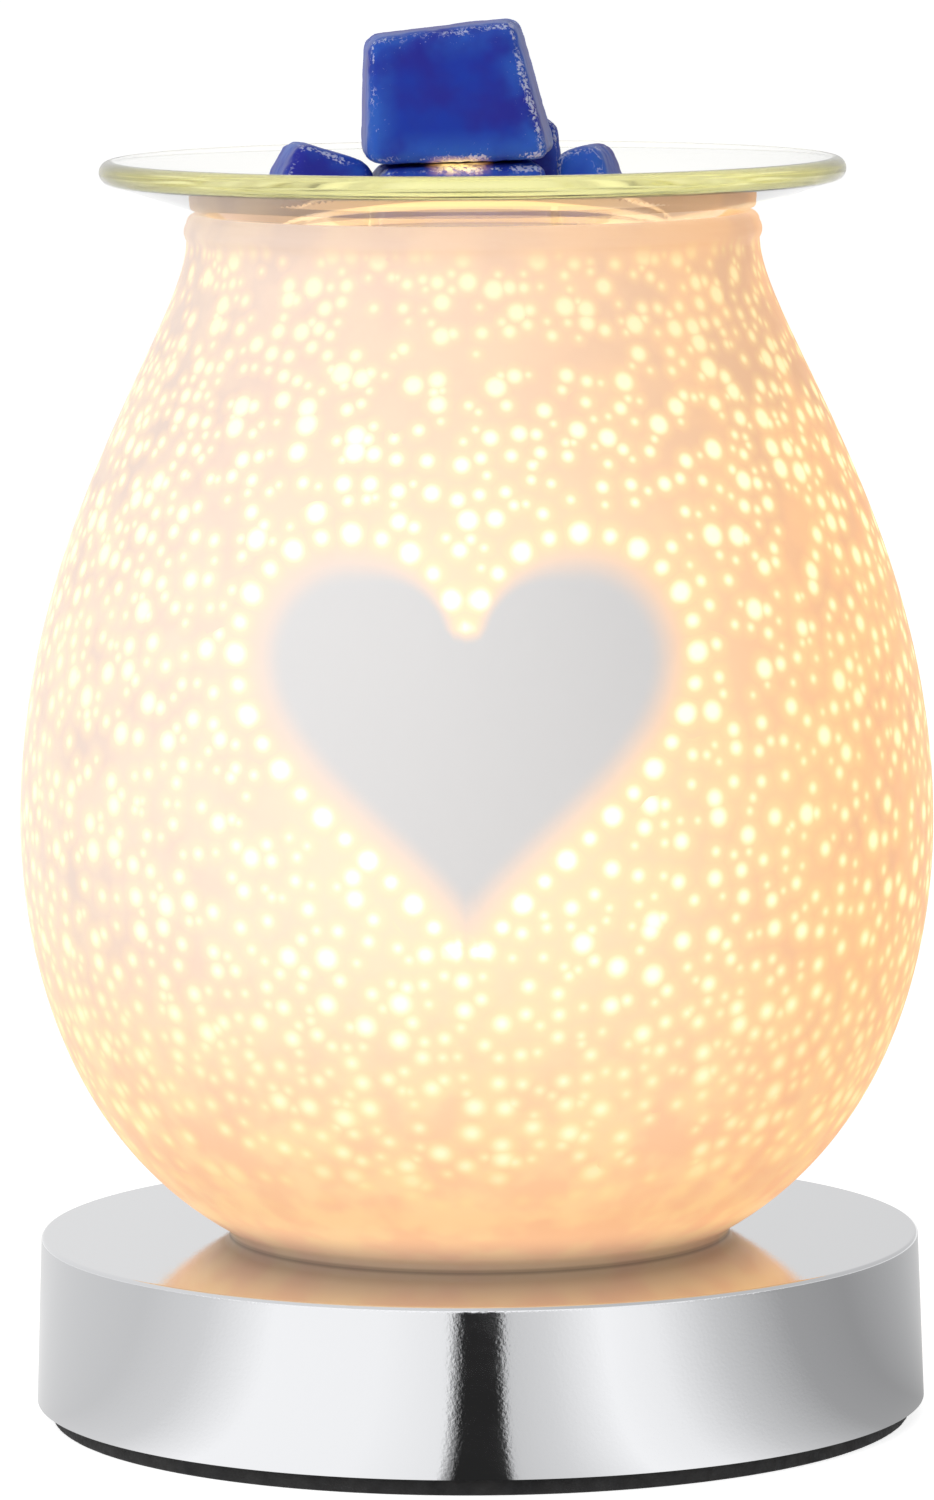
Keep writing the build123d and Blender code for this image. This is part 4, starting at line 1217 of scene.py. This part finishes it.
def card_finish(name, colour_of):
    """A card that shines by itself, in a tone that colour_of works out."""
    tree, shader = new_finish(name)
    set_values(
        tree, shader, Base_Color=(0.0, 0.0, 0.0), Specular_IOR_Level=0.0, Emission_Color=colour_of(tree),
        Emission_Strength=card_light)
    return finishes[name]


def tone_by_direction(tree):
    """The ring's tone: the angle round Z, counted from the front, on a ramp."""
    turned = add(tree, "Mapping", {"Vector": place(tree), "Rotation": (0, 0, math.pi / 2)})
    angle = add(tree, "TexGradient", {0: turned.outputs[0]}, gradient_type="RADIAL").outputs["Fac"]
    ramp = add(tree, "ValToRGB", {0: angle})
    stops = ramp.color_ramp.elements
    while len(stops) < len(ring_tones):
        stops.new(0.5)
    for stop, (direction, tone) in zip(stops, ring_tones.items()):
        stop.position = 0.5 + direction / 360
        stop.color = (tone, tone, tone, 1.0)
    return ramp.outputs["Color"]


def tone_by_side(tree):
    """The sheet's tone: paler on the left."""
    side = add(tree, "SeparateXYZ", {0: place(tree)}).outputs["X"]
    return fade(tree, side, -0.5 * sheet_radius, 0.5 * sheet_radius, sheet_left, sheet_right)


def for_mirrors_only(card, finish):
    """A stage piece that nothing but a mirror sees."""
    card.data.materials.append(finish)
    card.visible_camera = card.visible_diffuse = card.visible_shadow = False
    card.visible_transmission = card.visible_volume_scatter = False


ring = start("card_ring", bpy.ops.mesh.primitive_circle_add, vertices=128, radius=ring_outside,
             fill_type="NGON", location=(0, 0, ring_height))
bpy.ops.mesh.inset(thickness=ring_outside - ring_inside)
bpy.ops.mesh.delete(type="FACE")
bpy.ops.object.mode_set(mode="OBJECT")
for_mirrors_only(ring, card_finish("card_ring", tone_by_direction))

sheet = start("card_sheet", bpy.ops.mesh.primitive_cylinder_add, vertices=128, radius=sheet_radius,
              depth=sheet_height, location=(0, 0, sheet_height / 2 + sheet_low))
pick(sheet, lambda face: face.normal.z < -0.5)
bpy.ops.mesh.delete(type="ONLY_FACE")
bpy.ops.object.mode_set(mode="OBJECT")
for_mirrors_only(sheet, card_finish("card_sheet", tone_by_side))
print("cards:", ring.name, sheet.name)

# %% [markdown]
# ## Lights
# A large soft box stands in front, a little to the left, and a weaker one far to the left. Together
# they make the left of the shade paler than the right, with no hard edge anywhere.

# %% Lights
light_aim = Vector((0.0, 0.0, 0.1))
soft_boxes = {
    # name: direction to the right of the front, height above the horizon, distance, size, power
    "key": (-10.0, 28.0, 1.7, 1.2, 11.0),
    "side": (-85.0, 20.0, 1.4, 0.8, 4.0),
}
for name, (direction, rise, distance, size, power) in soft_boxes.items():
    turn, lift = math.radians(direction), math.radians(rise)
    way = Vector((math.sin(turn) * math.cos(lift), -math.cos(turn) * math.cos(lift), math.sin(lift)))
    bpy.ops.object.light_add(type="AREA", location=light_aim + way * distance)
    box = bpy.context.object
    box.name = name
    box.data.size = size
    box.data.energy = power
    box.rotation_euler = way.to_track_quat("Z", "Y").to_euler()
    box.visible_glossy = False
    print(f"{name}: {power} W")

# %% [markdown]
# ## Paths of light
# Light that gets into the rim of the dish bounces about inside it many times before it comes out. If
# the renderer gives up too soon, the rim turns black, so it may follow a path for longer than usual.

# %% Paths of light
cycles = bpy.context.scene.cycles
cycles.max_bounces = cycles.transmission_bounces = 32
cycles.glossy_bounces = 16
print("paths of up to", cycles.max_bounces, "bounces")
